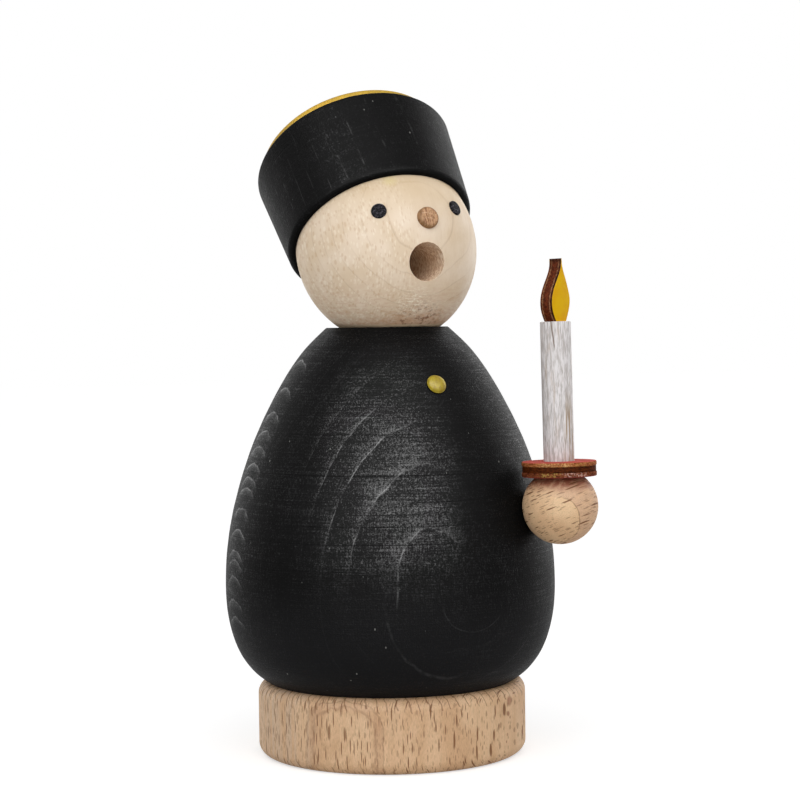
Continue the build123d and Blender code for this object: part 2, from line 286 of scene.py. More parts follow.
def rounded(corners, radii, closed=False, steps=7):
    """Polyline with arcs at its corners: each arc touches both runs, and turns between them."""
    corners = np.asarray(corners, float)
    pieces = []
    for at, radius in enumerate(radii):
        corner = corners[at]
        is_end = not closed and at in (0, len(radii) - 1)
        if radius == 0 or is_end:
            pieces.append(corner[None, :])
            continue
        back = corners[at - 1] - corner
        ahead = corners[(at + 1) % len(corners)] - corner
        back /= np.linalg.norm(back)
        ahead /= np.linalg.norm(ahead)
        half = np.arccos(np.clip(back @ ahead, -1.0, 1.0)) / 2
        middle = (back + ahead) / np.linalg.norm(back + ahead)
        centre = corner + middle * radius / np.sin(half)
        first = corner + back * radius / np.tan(half) - centre
        last = corner + ahead * radius / np.tan(half) - centre
        share = np.linspace(0.0, 1.0, steps)[:, None]
        turn = np.pi - 2 * half
        arc = (np.sin((1 - share) * turn) * first + np.sin(share * turn) * last) / np.sin(turn)
        pieces.append(centre + arc)
    return np.concatenate(pieces)


def dense(profile, step, closed=False):
    """The same polyline with extra points, so that no run is longer than the step."""
    profile = np.asarray(profile, float)
    ends = np.roll(profile, -1, axis=0) if closed else profile[1:]
    starts = profile if closed else profile[:-1]
    runs = []
    for start, end in zip(starts, ends):
        parts = max(1, int(np.ceil(np.linalg.norm(end - start) / step)))
        share = np.arange(parts)[:, None] / parts
        runs.append(start + (end - start) * share)
    if not closed:
        runs.append(profile[-1:])
    return np.concatenate(runs)


# Meshes

lattice_cells = 32


def lattice_noise(points, size, seed):
    """Smooth noise from -1 to 1: random values on a grid of this size, blended between its nodes."""
    random = np.random.default_rng(seed)
    table = random.uniform(-1.0, 1.0, (lattice_cells,) * 3)
    spot = points / size
    cell = np.floor(spot).astype(int)
    share = spot - cell
    share = share * share * (3 - 2 * share)
    total = np.zeros(points.shape[:-1])
    for corner in np.ndindex(2, 2, 2):
        offset = np.array(corner)
        index = (cell + offset) % lattice_cells
        weight = np.prod(np.where(offset == 1, share, 1 - share), axis=-1)
        total += weight * table[index[..., 0], index[..., 1], index[..., 2]]
    return total


def smooth_step(low, high, value):
    """0 below low, 1 above high, and an S-curve between."""
    share = np.clip((value - low) / (high - low), 0.0, 1.0)
    return share * share * (3 - 2 * share)


def put_mesh(name, points, faces, sharp_angle=35.0):
    """A Blender object at the origin with this mesh, shaded smooth up to the sharp angle."""
    mesh = bpy.data.meshes.new(name)
    mesh.from_pydata((np.asarray(points) * MM).tolist(), [], faces)
    mesh.validate()
    mesh.shade_smooth()
    mesh.set_sharp_from_angle(angle=radians(sharp_angle))
    piece = bpy.data.objects.new(name, mesh)
    bpy.context.scene.collection.objects.link(piece)
    return piece


def grid_faces(rows, columns, wrap_rows=False):
    """Quads of a grid whose columns wrap round; rows wrap too where the outline is a loop."""
    row = np.arange(rows if wrap_rows else rows - 1)[:, None]
    column = np.arange(columns)[None, :]
    next_row = (row + 1) % rows
    next_column = (column + 1) % columns
    quads = np.stack([
        row * columns + column,
        row * columns + next_column,
        next_row * columns + next_column,
        next_row * columns + column,
    ], axis=-1)
    return quads.reshape(-1, 4)


def frame_axes(axis):
    """Two unit vectors square to the axis and to each other, the first as near +X as can be."""
    axis = axis / np.linalg.norm(axis)
    across = side_dir - axis * (side_dir @ axis)
    across /= np.linalg.norm(across)
    return across, np.cross(axis, across)


def turned_points(profile, origin, axis, around):
    """Surface of revolution: a profile point (r, h) goes to origin + r (cos a u + sin a v) + h w.

    u and v are square to the axis w, and a runs once round. The result is a grid, one row
    for each profile point.
    """
    across, ahead = frame_axes(axis)
    angle = np.linspace(0.0, 2 * np.pi, around, endpoint=False)
    ring = np.cos(angle)[:, None] * across + np.sin(angle)[:, None] * ahead
    return origin + profile[:, 0, None, None] * ring + profile[:, 1, None, None] * axis


def turned(name, profile, origin, axis, around=256, closed=False, change=None, sharp_angle=35.0):
    """Turned piece: the profile carried once round the axis.

    An open profile starts and ends on the axis, where each pole is one point. A closed one
    is a loop clear of the axis. The change, if given, moves the grid of points.
    """
    profile = np.asarray(profile, float)
    body = profile if closed else profile[1:-1]
    points = turned_points(body, origin, axis, around)
    if change is not None:
        points = change(points)
    rows = len(body)
    flat = points.reshape(-1, 3)
    faces = grid_faces(rows, around, wrap_rows=closed).tolist()
    if not closed:
        first = len(flat)
        poles = origin + profile[[0, -1], 1, None] * axis
        flat = np.concatenate([flat, poles])
        column = np.arange(around)
        after = (column + 1) % around
        top = (rows - 1) * around
        faces += np.stack([np.full(around, first), after, column], axis=1).tolist()
        faces += np.stack([np.full(around, first + 1), top + column, top + after], axis=1).tolist()
    return put_mesh(name, flat, faces, sharp_angle)


def block_points(low, high):
    """The eight corners of a box and its six outward faces."""
    xs, ys, zs = zip(low, high)
    corners = [(x, y, z) for z in zs for y in ys for x in xs]
    faces = [(0, 2, 3, 1), (4, 5, 7, 6), (0, 1, 5, 4), (2, 6, 7, 3), (0, 4, 6, 2), (1, 3, 7, 5)]
    return np.array(corners, float), faces


def rod(name, origin, axis, radius, length, around=96):
    """Straight round rod from the origin along the axis."""
    profile = [(0.0, 0.0), (radius, 0.0), (radius, length), (0.0, length)]
    return turned(name, profile, np.asarray(origin, float), np.asarray(axis, float), around)


def cut(piece, cutters, sharp_angle=35.0):
    """Takes the closed cutters away from the piece, one after the other, and removes them."""
    for cutter in cutters:
        modifier = piece.modifiers.new("cut", "BOOLEAN")
        modifier.operation = "DIFFERENCE"
        modifier.solver = "EXACT"
        modifier.object = cutter
    graph = bpy.context.evaluated_depsgraph_get()
    whole = bpy.data.meshes.new_from_object(piece.evaluated_get(graph))
    old = piece.data
    piece.modifiers.clear()
    piece.data = whole
    whole.name = piece.name
    bpy.data.meshes.remove(old)
    for cutter in cutters:
        mesh = cutter.data
        bpy.data.objects.remove(cutter)
        bpy.data.meshes.remove(mesh)
    whole.shade_smooth()
    whole.set_sharp_from_angle(angle=radians(sharp_angle))
    return piece


# Shapes of the pieces

def make_base():
    """Turned disc: rounded edges, spigot with a chamfer, a let-in for the dish and the air path."""
    outline = rounded(
        [
            (0, 0),
            (base_radius, 0),
            (base_radius, base_height),
            (spigot_radius, base_height),
            (spigot_radius, spigot_top - spigot_chamfer),
            (spigot_radius - spigot_chamfer, spigot_top),
            (dish_seat_radius, spigot_top),
            (dish_seat_radius, spigot_top - dish_seat_depth),
            (0, spigot_top - dish_seat_depth),
        ],
        [0, base_edge_radius, base_edge_radius, 0, 0, 0, 0, 0, 0],
        steps=14,
    )
    disc = turned("base_turned", dense(outline, 1.0), origin, up_dir, around=240)
    cutters = []
    for side in (-1, 1):
        foot = (side * air_hole_spacing / 2, groove_back, -overrun)
        through = spigot_top + 2 * overrun
        cutters.append(rod("hole", foot, up_dir, air_hole_radius, through, around=48))
    low = (-base_radius - overrun, groove_back - groove_width / 2, -overrun)
    high = (base_radius + overrun, groove_back + groove_width / 2, groove_depth)
    cutters.append(put_mesh("groove", *block_points(low, high)))
    return cut(disc, cutters)


def body_profile():
    """Loop of the hollow body: up the outer curve, over the top, and down the bores inside."""
    shares = np.array(body_outline_shares)
    height = body_top - base_height
    outer = curve_through(shares * (body_radius, height) + (0, base_height), 150)
    outer[:, 0] *= body_radius / outer[:, 0].max()
    neck_floor = body_top - neck_in_body
    taper_high = neck_floor - flue_length
    foot = rounded([outer[0] - outline_lip, outer[0], outer[3]], [0, body_foot_round, 0])
    top = rounded([outer[-4], outer[-1], outer[-1] - outline_lip], [0, body_top_round, 0])
    inner = [
        (neck_bore_radius, body_top),
        (neck_bore_radius, neck_floor),
        (flue_radius, neck_floor),
        (flue_radius, taper_high),
        (chamber_radius, taper_high - chamber_taper),
        (chamber_radius, base_height),
    ]
    loop = np.concatenate([foot[1:-1], outer[3:-3], top[1:-1], inner])
    return dense(loop, 1.2, closed=True)


def lathe_waves(points):
    """Turned surfaces aren't quite even: rings a few hundredths of a millimetre deep."""
    most, size, seed = body_waves
    radius = np.linalg.norm(points[..., :2], axis=-1, keepdims=True)
    height = points[..., 2]
    heights = np.stack([height * 0, height * 0, height], axis=-1)
    depth = most * lattice_noise(heights, size, seed) - most
    outside = smooth_step(chamber_radius + 0.4, chamber_radius + 1.4, radius[..., 0])
    scale = 1 + (depth * outside)[..., None] / radius
    return points * np.concatenate([scale, scale, np.ones_like(scale)], axis=-1)


def make_body():
    """Hollow turned body."""
    loop = body_profile()
    return turned("body_turned", loop, origin, up_dir, around=288, closed=True, change=lathe_waves)


def towards_head(points):
    """Unit vectors from the points to the head's centre."""
    return (head_centre - points) / np.linalg.norm(head_centre - points, axis=-1, keepdims=True)


def head_tearing(points):
    """Fibres torn out over the sawn flat, deepest at the front on the figure's left."""
    deepest, size, seed = torn_fibres
    small_share, small_size, small_seed = torn_fibres_small
    wave, wave_size, wave_seed = saw_waves
    over_saw = points[..., 2] - head_low[2]
    angle = np.degrees(np.arctan2(points[..., 0], -points[..., 1]))
    low = smooth_step(*torn_heights, over_saw) * smooth_step(-0.6, 0.0, over_saw)
    facing = np.exp(-((angle - torn_turn) / torn_turn_spread) ** 2)
    rough = lattice_noise(points * (1.0, 1.0, 0.7), size, seed)
    rough = rough + small_share * lattice_noise(points, small_size, small_seed)
    all_round = wave * smooth_step(2.0, 0.4, over_saw) * lattice_noise(points, wave_size, wave_seed)
    depth = deepest * low * facing * np.clip(rough, -0.2, 1.0) + all_round
    return points + towards_head(points) * np.clip(depth, -0.02, 1.0)[..., None]


def make_head():
    """Egg of revolution with two sawn flats, bored for the smoke and for the mouth.

    Half the egg's outline is r = a sin t, h = -b cos t, and it turns round the leaning axis.
    """
    t = np.linspace(0.0, np.pi, 190)
    outline = np.stack([head_radius * np.sin(t), -head_half_length * np.cos(t)], axis=1)
    egg = turned("head_turned", outline, head_centre, crown_dir, around=288, change=head_tearing)
    reach = 2 * head_half_length
    below, faces = block_points((-reach, -reach, -reach), (reach, reach, head_low[2]))
    saw_low = put_mesh("saw_low", below, faces)
    crown = head_centre + crown_dir * crown_over_head
    saw_high = rod("saw_high", crown, crown_dir, reach, reach, around=32)
    flue_foot = (0, 0, head_low[2] - overrun)
    flue_top = mouth_z + mouth_radius + flue_over_mouth
    flue = rod("flue", flue_foot, up_dir, flue_radius, flue_top - flue_foot[2])
    mouth = rod("mouth", (0, 0, mouth_z), (0, -1, 0), mouth_radius, reach, around=128)
    return cut(egg, [saw_low, saw_high, flue, mouth], sharp_angle=28.0)


def make_hat():
    """Flared drum on the head's axis, with a recess that follows the egg."""
    recess_a = head_radius + hat_clearance
    recess_b = head_half_length + hat_clearance
    over = np.linspace(crown_over_head, brim_over_head, 24)
    recess = np.stack([recess_a * np.sqrt(1 - (over / recess_b) ** 2), over], axis=1)
    hat_top = brim_over_head + hat_height
    outer = rounded(
        [recess[-1], (hat_brim_radius, brim_over_head), (hat_top_radius, hat_top), (0, hat_top)],
        [0, brim_round, hat_edge_round, 0],
        steps=12,
    )
    outline = np.concatenate([[(0, crown_over_head)], recess, outer[1:]])

    def uneven(points):
        """Worn edges: a wave of a few hundredths of a millimetre."""
        most, size, seed = hat_waves
        wave = most + most * lattice_noise(points, size, seed)
        return points + towards_head(points) * wave[..., None]

    outline = dense(outline, 1.0)
    return turned("hat_turned", outline, head_centre, crown_dir, around=288, change=uneven)


def make_gilt_disc():
    """Disc with one rounded edge on top of the hat."""
    low = brim_over_head + hat_height
    high = low + gilt_thickness
    outline = rounded(
        [(0, low), (gilt_radius, low), (gilt_radius, high), (0, high)],
        [0, gilt_foot_round, gilt_edge_round, 0],
        steps=8,
    )
    return turned("gilt_disc", dense(outline, 1.2), head_centre, crown_dir, around=240)


def make_peg(name, turn, rise, radius, proud, edge_round):
    """Round peg from its hole's floor out of the face, its end slightly domed."""
    outward = front_dir(turn, rise)
    along = outward @ crown_dir
    reach = 1 / np.sqrt(along**2 / head_half_length**2 + (1 - along**2) / head_radius**2)
    end = peg_depth + proud
    corners = [(0, 0), (radius, 0), (radius, end), (0, end)]
    outline = dense(rounded(corners, [0, peg_foot_round, edge_round, 0], steps=9), 0.25)

    def crumbled(points):
        """The cut end is a little uneven."""
        height = (points - foot) @ outward
        top = smooth_step(end - edge_round, end, height)
        most, size, seed = peg_crumbs
        return points - outward * (most * top * np.abs(lattice_noise(points, size, seed)))[..., None]

    foot = head_centre + outward * (reach - peg_depth)
    return turned(name, outline, foot, outward, around=72, change=crumbled)


def make_button():
    """Domed tack: r = R (cos t)^0.9, h = edge + (height - edge) sin t, over a short straight rim."""
    t = np.linspace(0.0, np.pi / 2, 18)[:-1]
    dome = np.stack([
        (button_radius - button_dome_inset) * np.cos(t) ** 0.9,
        button_edge + (button_height - button_edge) * np.sin(t),
    ], axis=1)
    rim = [button_rim[0], *((button_radius + inset, height) for inset, height in button_rim[1:])]
    outline = np.concatenate([rim, dome, [(0.0, button_height)]])
    return turned("button_dome", outline, button_seat, button_facing, around=96)


def make_ball():
    """Ball with a flat under the tray, and its side pressed flat against the body."""
    t = np.linspace(0.0, np.pi, 120)
    outline = np.stack([ball_radius * np.sin(t), -ball_radius * np.cos(t)], axis=1)
    outline = outline[outline[:, 1] < tray_low]
    edge = np.array([(np.sqrt(ball_radius**2 - tray_low**2), tray_low), (0.0, tray_low)])
    outline = np.concatenate([outline, edge])

    def flatten(points):
        """Points past the side's plane move square to it until they lie in it."""
        side = ball_radius - ball_side_flat
        past = np.clip(-(points - ball_centre) @ hand_seat_dir - side, 0.0, None)
        return points + hand_seat_dir * past[..., None]

    return turned("ball_hand", dense(outline, 0.8), ball_centre, hand_up, around=160, change=flatten)


def off_hand_axis(points):
    """Vectors from the hand's axis out to the points, their lengths, and heights along the axis."""
    from_ball = points - ball_centre
    height = from_ball @ hand_up
    away = from_ball - hand_up * height[..., None]
    return away, np.linalg.norm(away, axis=-1, keepdims=True), height


def make_ply(name, low, high, radius, edge_round, seed):
    """One ply of the tray: a ring round the candle, its outer edge charred uneven by the cut."""
    bore = candle_bore_radius
    outline = rounded(
        [(bore, low), (radius, low), (radius, high), (bore, high)],
        [0, edge_round, edge_round, 0],
        closed=True,
        steps=6,
    )

    def charred(points):
        """Small notches in the outer edge, a few hundredths of a millimetre deep."""
        away, radius_here = off_hand_axis(points)[:2]
        at_edge = smooth_step(radius - 0.7, radius - 0.3, radius_here[..., 0])
        notch = ply_notches[0] * np.abs(lattice_noise(points, ply_notches[1], seed)) * at_edge
        return points - away / radius_here * notch[..., None]

    loop = dense(outline, 0.5, closed=True)
    return turned(
        name, loop, ball_centre, hand_up, around=240, closed=True, change=charred, sharp_angle=50.0,
    )


def make_tray():
    """The three plies from the bottom up; the core is burnt back a little."""
    plies = []
    low = tray_low
    for index, (node, share) in enumerate(ply_shares):
        high = low + tray_thickness * share
        is_core = node == "tray_core_ply"
        radius = tray_radius - (core_burn_back if is_core else 0.0)
        edge = core_edge_round if is_core else ply_edge_round
        plies.append((make_ply(node + "_cut", low, high, radius, edge, ply_notches[2] + index), node))
        low = high
    return plies


def make_candle():
    """Dowel with softened ends and a skin of paint that follows the grain."""
    low = tray_low - candle_in_ball
    outline = rounded(
        [(0, low), (candle_radius, low), (candle_radius, candle_top), (0, candle_top)],
        [0, candle_foot_round, candle_top_round, 0],
        steps=6,
    )

    def fluted(points):
        """Long shallow grooves along the grain, three hundredths of a millimetre deep."""
        most, size, seed = candle_flutes
        away, radius_here, height = off_hand_axis(points)
        stretched = np.concatenate([away[..., :2], height[..., None] * 0.12], axis=-1)
        groove = 0.015 + most * lattice_noise(stretched, size, seed)
        at_side = smooth_step(candle_radius - 0.4, candle_radius - 0.1, radius_here[..., 0])
        return points - away / radius_here * (groove * at_side)[..., None]

    outline = dense(outline, 0.7)
    return turned("candle_dowel", outline, ball_centre, hand_up, around=128, change=fluted)


def make_flame():
    """Sawn blade: rounded rectangles carried up between the left and the right outline.

    At each height the section runs from the left outline to the right one, as deep as the
    plywood, and its corners are rounded. The outlines meet at the tip.
    """
    scale = (flame_width, flame_height)
    left = curve_through(np.array(flame_left_shares + [flame_tip_shares]) * scale, 70)
    right = curve_through(np.array(flame_right_shares + [flame_tip_shares]) * scale, 70)
    heights = (left[:, 1] + right[:, 1]) / 2
    tenon = np.array([-flame_tenon_length, -0.01])
    low = np.concatenate([np.full(2, -flame_tenon_width / 2), left[:, 0]])
    high = np.concatenate([np.full(2, flame_tenon_width / 2), right[:, 0]])
    up = np.concatenate([tenon, heights])
    half_width = np.maximum((high - low) / 2, 0.04)
    middle = (high + low) / 2
    half_depth = flame_thickness / 2
    corner = np.minimum(flame_edge_round, half_width * 0.9)
    quarter = np.linspace(0.0, np.pi / 2, 5)
    across = []
    deep = []
    for quadrant, (side, face) in enumerate([(1, 1), (-1, 1), (-1, -1), (1, -1)]):
        angle = quarter + quadrant * np.pi / 2
        across.append(side * (half_width - corner)[:, None] + corner[:, None] * np.cos(angle))
        deep.append(face * (half_depth - corner)[:, None] + corner[:, None] * np.sin(angle))
    across = np.concatenate(across, axis=1) + middle[:, None]
    deep = np.concatenate(deep, axis=1)
    foot = ball_centre + hand_up * candle_top
    points = (
        foot
        + across[..., None] * flame_across
        + deep[..., None] * flame_face_dir
        + up[:, None, None] * hand_up
    )
    rows, columns = across.shape
    faces = grid_faces(rows, columns).tolist()
    faces.append(list(range(columns))[::-1])
    faces.append(list(range((rows - 1) * columns, rows * columns)))
    return put_mesh("flame_blade", points.reshape(-1, 3), faces, sharp_angle=40.0)


# Node graphs

def srgb(red, green, blue):
    """Colour given as seen on a screen, 0 to 255, made linear."""
    share = np.array([red, green, blue]) / 255
    linear = np.where(share <= 0.04045, share / 12.92, ((share + 0.055) / 1.055) ** 2.4)
    return (*linear.tolist(), 1.0)


class Graph:
    """One node tree, with short calls for the nodes that the finishes use."""

    def __init__(self, tree):
        self.tree = tree

    def node(self, kind, feeds=(), **settings):
        """A node with its settings and its fed sockets, which are given by name or number."""
        made = self.tree.nodes.new(kind)
        for key, value in settings.items():
            setattr(made, key, value)
        for socket, value in dict(feeds).items():
            self.feed(made.inputs[socket], value)
        return made

    def feed(self, socket, value):
        """Links an output to the socket, or sets a number, vector or colour on it."""
        if isinstance(value, bpy.types.NodeSocket):
            self.tree.links.new(value, socket)
        else:
            socket.default_value = value

    def math(self, operation, first, second=0.0, third=0.0, clamp=False):
        """Arithmetic on numbers."""
        feeds = {0: first, 1: second, 2: third}
        return self.node("ShaderNodeMath", feeds, operation=operation, use_clamp=clamp).outputs[0]

    def times(self, first, *others):
        """Product of two numbers or more."""
        for other in others:
            first = self.math("MULTIPLY", first, other)
        return first

    def times_plus(self, first, second, third, clamp=False):
        """Product of the first two numbers, and the third added to it."""
        return self.math("MULTIPLY_ADD", first, second, third, clamp)

    def plus(self, first, second):
        """Sum."""
        return self.math("ADD", first, second)

    def minus(self, first, second):
        """Difference."""
        return self.math("SUBTRACT", first, second)

    def over(self, first, second):
        """Quotient."""
        return self.math("DIVIDE", first, second)

    def most(self, first, second):
        """The greater of two numbers."""
        return self.math("MAXIMUM", first, second)

    def below(self, value, limit):
        """1 where the value is under the limit, else 0."""
        return self.math("LESS_THAN", value, limit)

    def vector(self, operation, first, second=(0, 0, 0)):
        """Arithmetic on vectors."""
        made = self.node("ShaderNodeVectorMath", {0: first, 1: second}, operation=operation)
        return made.outputs["Value" if operation == "LENGTH" else "Vector"]

    def stretch(self, vector, scale):
        """Vector multiplied by a scale for each axis."""
        return self.vector("MULTIPLY", vector, scale)

    def length(self, vector, scale=(1, 1, 1)):
        """Length of the vector once it is scaled for each axis."""
        return self.vector("LENGTH", self.stretch(vector, scale))

    def split(self, vector):
        """The three parts of a vector."""
        return self.node("ShaderNodeSeparateXYZ", {0: vector}).outputs

    def mix(self, factor, first, second):
        """Blend of two colours."""
        feeds = {0: factor, 6: first, 7: second}
        return self.node("ShaderNodeMix", feeds, data_type="RGBA", blend_type="MIX").outputs[2]

    def between(self, value, low, high, first=0.0, last=1.0):
        """Smooth step: the first number below low, the last above high."""
        feeds = {0: value, 1: low, 2: high, 3: first, 4: last}
        made = self.node("ShaderNodeMapRange", feeds, interpolation_type="SMOOTHSTEP")
        return made.outputs[0]

    def line(self, value, at, core, edge, share=1.0):
        """Thin line where the value is at a number: its share within the core, 0 past the edge."""
        away = self.math("ABSOLUTE", self.minus(value, at))
        return self.between(away, core, edge, share, 0.0)

    def noise(self, vector, scale=1.0, detail=2.0, rough=0.5, out="Fac"):
        """Cloudy noise from 0 to 1."""
        feeds = {"Vector": vector, "Scale": scale, "Detail": detail, "Roughness": rough}
        return self.node("ShaderNodeTexNoise", feeds).outputs[out]

    def wander(self, vector, scale, detail, width):
        """Noise round zero, so wide in all, that makes a line wander."""
        return self.times(self.minus(self.noise(vector, scale, detail), 0.5), width)

    def call(self, group, **feeds):
        """A node group; its inputs are named with underscores for spaces."""
        made = self.node("ShaderNodeGroup", node_tree=group)
        for name, value in feeds.items():
            self.feed(made.inputs[name.replace("_", " ")], value)
        return made.outputs

    def bump(self, height, distance, strength):
        """Bump with its distance in millimetres."""
        feeds = {"Height": height, "Distance": distance * MM, "Strength": strength}
        return self.node("ShaderNodeBump", feeds).outputs[0]


def new_group(name, inputs, outputs):
    """An empty node group: its graph, its input sockets and a call that ends it.

    An input is given with its first value. Where that is None, the input is the vector of
    coordinates in millimetres. An output is always a number.
    """
    tree = bpy.data.node_groups.new(name, "ShaderNodeTree")
    for label, value in inputs.items():
        kind = "NodeSocketFloat" if isinstance(value, float) else "NodeSocketVector"
        socket = tree.interface.new_socket(label, in_out="INPUT", socket_type=kind)
        if value is not None:
            socket.default_value = value
    for label in outputs:
        tree.interface.new_socket(label, in_out="OUTPUT", socket_type="NodeSocketFloat")
    graph = Graph(tree)
    entry = graph.node("NodeGroupInput")
    leave = graph.node("NodeGroupOutput")

    def end(**results):
        """Feeds the group's outputs."""
        for label, value in results.items():
            graph.feed(leave.inputs[label], value)
        return tree

    return graph, entry.outputs, end


def growth_ring_group():
    """Growth rings round a pith on the Z axis: thin line at each boundary, tone that rises to it."""
    inputs = {"Vector": None, "Spacing": 2.0, "Start": 0.0, "Waviness": 0.5, "Line": 0.1}
    graph, given, end = new_group("growth_rings", inputs, ["Late", "Line", "Tone"])
    spot = given["Vector"]
    radius = graph.length(spot, (1, 1, 0))
    slow = graph.noise(graph.stretch(spot, (1, 1, 0.35)), 0.07, 2.0)
    fast = graph.noise(graph.stretch(spot, (1, 1, 0.15)), 0.5, 2.0)
    wave = graph.plus(graph.minus(slow, 0.5), graph.times(fast, 0.12))
    moved = graph.times_plus(wave, given["Waviness"], radius)
    count = graph.over(graph.minus(moved, given["Start"]), given["Spacing"])
    part = graph.math("FRACT", count)
    late = graph.math("POWER", part, 3.0)
    to_line = graph.math("ABSOLUTE", graph.minus(part, 0.5))
    line = graph.between(to_line, graph.minus(0.5, given["Line"]), 0.5)
    whole = {"W": graph.math("FLOOR", count)}
    tone = graph.node("ShaderNodeTexWhiteNoise", whole, noise_dimensions="1D").outputs["Value"]
    return end(Late=late, Line=line, Tone=tone)


def scattered(graph, spot, scale, randomness, share, reach, least, soft):
    """A grain in some cells of a grid: its mask, and a number that differs from grain to grain.

    The share gives how many cells have one. A grain's size lies between a least share of the
    reach and all of it, and the mask rises over the soft share of the reach from its edge.
    """
    feeds = {"Vector": spot, "Scale": scale, "Randomness": randomness}
    cell = graph.node("ShaderNodeTexVoronoi", feeds).outputs
    chance = graph.node("ShaderNodeSeparateColor", {"Color": cell["Color"]}).outputs
    size = graph.times(reach, graph.between(chance[1], 0.0, 1.0, least, 1.0))
    inside = graph.minus(size, cell["Distance"])
    mask = graph.between(inside, 0.0, graph.times(reach, soft))
    return graph.times(mask, graph.below(chance[0], share)), chance[2]


def fleck_group():
    """Spindles along Z: one in each cell of a stretched grid, some left out, their edges wavy."""
    inputs = {"Vector": None, "Cell": (0.6, 3.0, 3.0), "Share": 0.4, "Size": 0.4}
    graph, given, end = new_group("flecks", inputs, ["Mask", "Tone"])
    spot = graph.vector("DIVIDE", given["Vector"], given["Cell"])
    shake = graph.noise(spot, 1.7, 1.0, out="Color")
    shake = graph.vector("SCALE", graph.vector("SUBTRACT", shake, (0.5, 0.5, 0.5)))
    shake.node.inputs["Scale"].default_value = 0.35
    spot = graph.vector("ADD", spot, shake)
    share, size = given["Share"], given["Size"]
    mask, tone = scattered(graph, spot, 1.0, 0.9, share, size, least=0.55, soft=0.35)
    return end(Mask=mask, Tone=tone)


def speck_group():
    """Dust: small light grains, few and scattered."""
    inputs = {"Vector": None, "Spacing": 2.0, "Share": 0.1, "Size": 0.1}
    graph, given, end = new_group("specks", inputs, ["Mask"])
    spot = graph.stretch(given["Vector"], (1, 1, 0.6))
    scale = graph.over(1.0, given["Spacing"])
    reach = graph.over(given["Size"], given["Spacing"])
    mask = scattered(graph, spot, scale, 1.0, given["Share"], reach, least=0.4, soft=0.5)[0]
    return end(Mask=mask)


def fibre_group():
    """Fine fibres along Z, and broader streaks that fade in and out."""
    inputs = {"Vector": None, "Width": 0.15, "Run": 12.0}
    graph, given, end = new_group("fibres", inputs, ["Fine", "Broad"])
    shrink = {0: 1.0, 1: 1.0, 2: graph.over(1.0, given["Run"])}
    spot = graph.stretch(given["Vector"], graph.node("ShaderNodeCombineXYZ", shrink).outputs[0])
    scale = graph.over(1.0, given["Width"])
    fine = graph.noise(spot, scale, 3.0, 0.6)
    broad = graph.noise(spot, graph.times(scale, 0.16), 3.0, 0.55)
    return end(Fine=fine, Broad=broad)


def lathe_group():
    """Rings left by the turning tool: noise that changes along Z only, with a slight wander."""
    graph, given, end = new_group("lathe_marks", {"Vector": None, "Pitch": 0.3}, ["Height", "Score"])
    spot = graph.stretch(given["Vector"], (0.02, 0.02, 1.0))
    height = graph.noise(spot, graph.over(1.0, given["Pitch"]), 2.0, 0.6)
    score = graph.noise(graph.stretch(given["Vector"], (0.012, 0.012, 1.0)), 0.9, 4.0, 0.75)
    return end(Height=height, Score=graph.between(score, 0.66, 0.72))


rings = growth_ring_group()
flecks = fleck_group()
fibres = fibre_group()
lathe_marks = lathe_group()
specks = speck_group()


# Colours as they are seen on a screen

def seen_colours(**table):
    """The same table with each colour made linear."""
    return {name: srgb(*seen) for name, seen in table.items()}


beech_tints = seen_colours(
    light=(234, 199, 160), deep=(216, 176, 136), fleck=(126, 84, 50),
    arch=(178, 132, 100), grey=(216, 192, 166), knot=(156, 104, 76),
)
ball_tints = seen_colours(
    light=(240, 205, 162), deep=(228, 188, 146), fleck=(116, 74, 40),
    # glue: red paint bled under the tray, with painted shade and painted red reflection there
    pink=(212, 172, 142), glue=(140, 66, 44),
)
black_tints = seen_colours(
    # low is painted fill light, laid on the lowest part of body and hat
    deep=(7, 7, 7), thin=(14, 14, 15), low=(26, 26, 27), line=(44, 44, 44), dust=(140, 140, 136),
)
maple_tints = seen_colours(
    light=(232, 213, 190), deep=(223, 201, 173), late=(205, 178, 142), line=(176, 144, 112),
    # forehead darkens the top of the head as painted shade
    streak=(205, 180, 148), tick=(200, 164, 124), pale=(246, 234, 216), forehead=(214, 188, 150),
    mottle=(204, 160, 124), torn=(196, 142, 102), scorched=(128, 78, 50), chip=(240, 228, 206),
    scratch_light=(246, 236, 216), scratch_dark=(150, 112, 86), resin=(226, 212, 116),
    sawn=(226, 202, 168), bore_dark=(206, 172, 140), bore_light=(248, 228, 204),
)
peg_tints = seen_colours(
    black=(14, 13, 16), pore=(74, 70, 78), end=(196, 152, 112), end_dark=(132, 88, 56),
    end_light=(226, 192, 156), rim=(120, 88, 52),
)
gold_tints = seen_colours(
    disc_light=(190, 158, 62), disc_deep=(158, 126, 48), disc_thin=(134, 96, 42),
    button_light=(176, 156, 44), button_deep=(152, 129, 38),
)
ply_tints = seen_colours(
    back_light=(138, 76, 46), back_dark=(72, 30, 16), core_light=(92, 42, 15), core_dark=(46, 19, 6),
    # tan, olive and rose are the tints of the painted glints on the ply edges
    face_light=(186, 118, 70), face_dark=(118, 60, 32), tan=(222, 178, 118), olive=(176, 148, 78),
    rose=(206, 166, 152), red_deep=(168, 58, 50), red_thin=(196, 96, 86),
    red_low_deep=(118, 40, 34), red_low_thin=(156, 70, 60),
)
candle_tints = seen_colours(
    hollow=(182, 175, 172), paint=(228, 224, 224), worn=(186, 166, 148), wood=(156, 132, 104),
    crack=(142, 126, 112), split=(104, 80, 60),
)
flame_tints = seen_colours(
    core_dark=(68, 27, 10), core_light=(108, 50, 24), ply_dark=(134, 90, 56),
    ply_light=(180, 142, 106), tip=(50, 24, 12), soot=(38, 18, 8), dots=(34, 15, 6),
    yellow=(226, 178, 6), yellow_deep=(222, 166, 8),
)
metal_tints = seen_colours(
    brass=(172, 146, 98), tarnish=(104, 82, 54), steel=(198, 198, 200), steel_dull=(140, 138, 136),
)


# Finishes

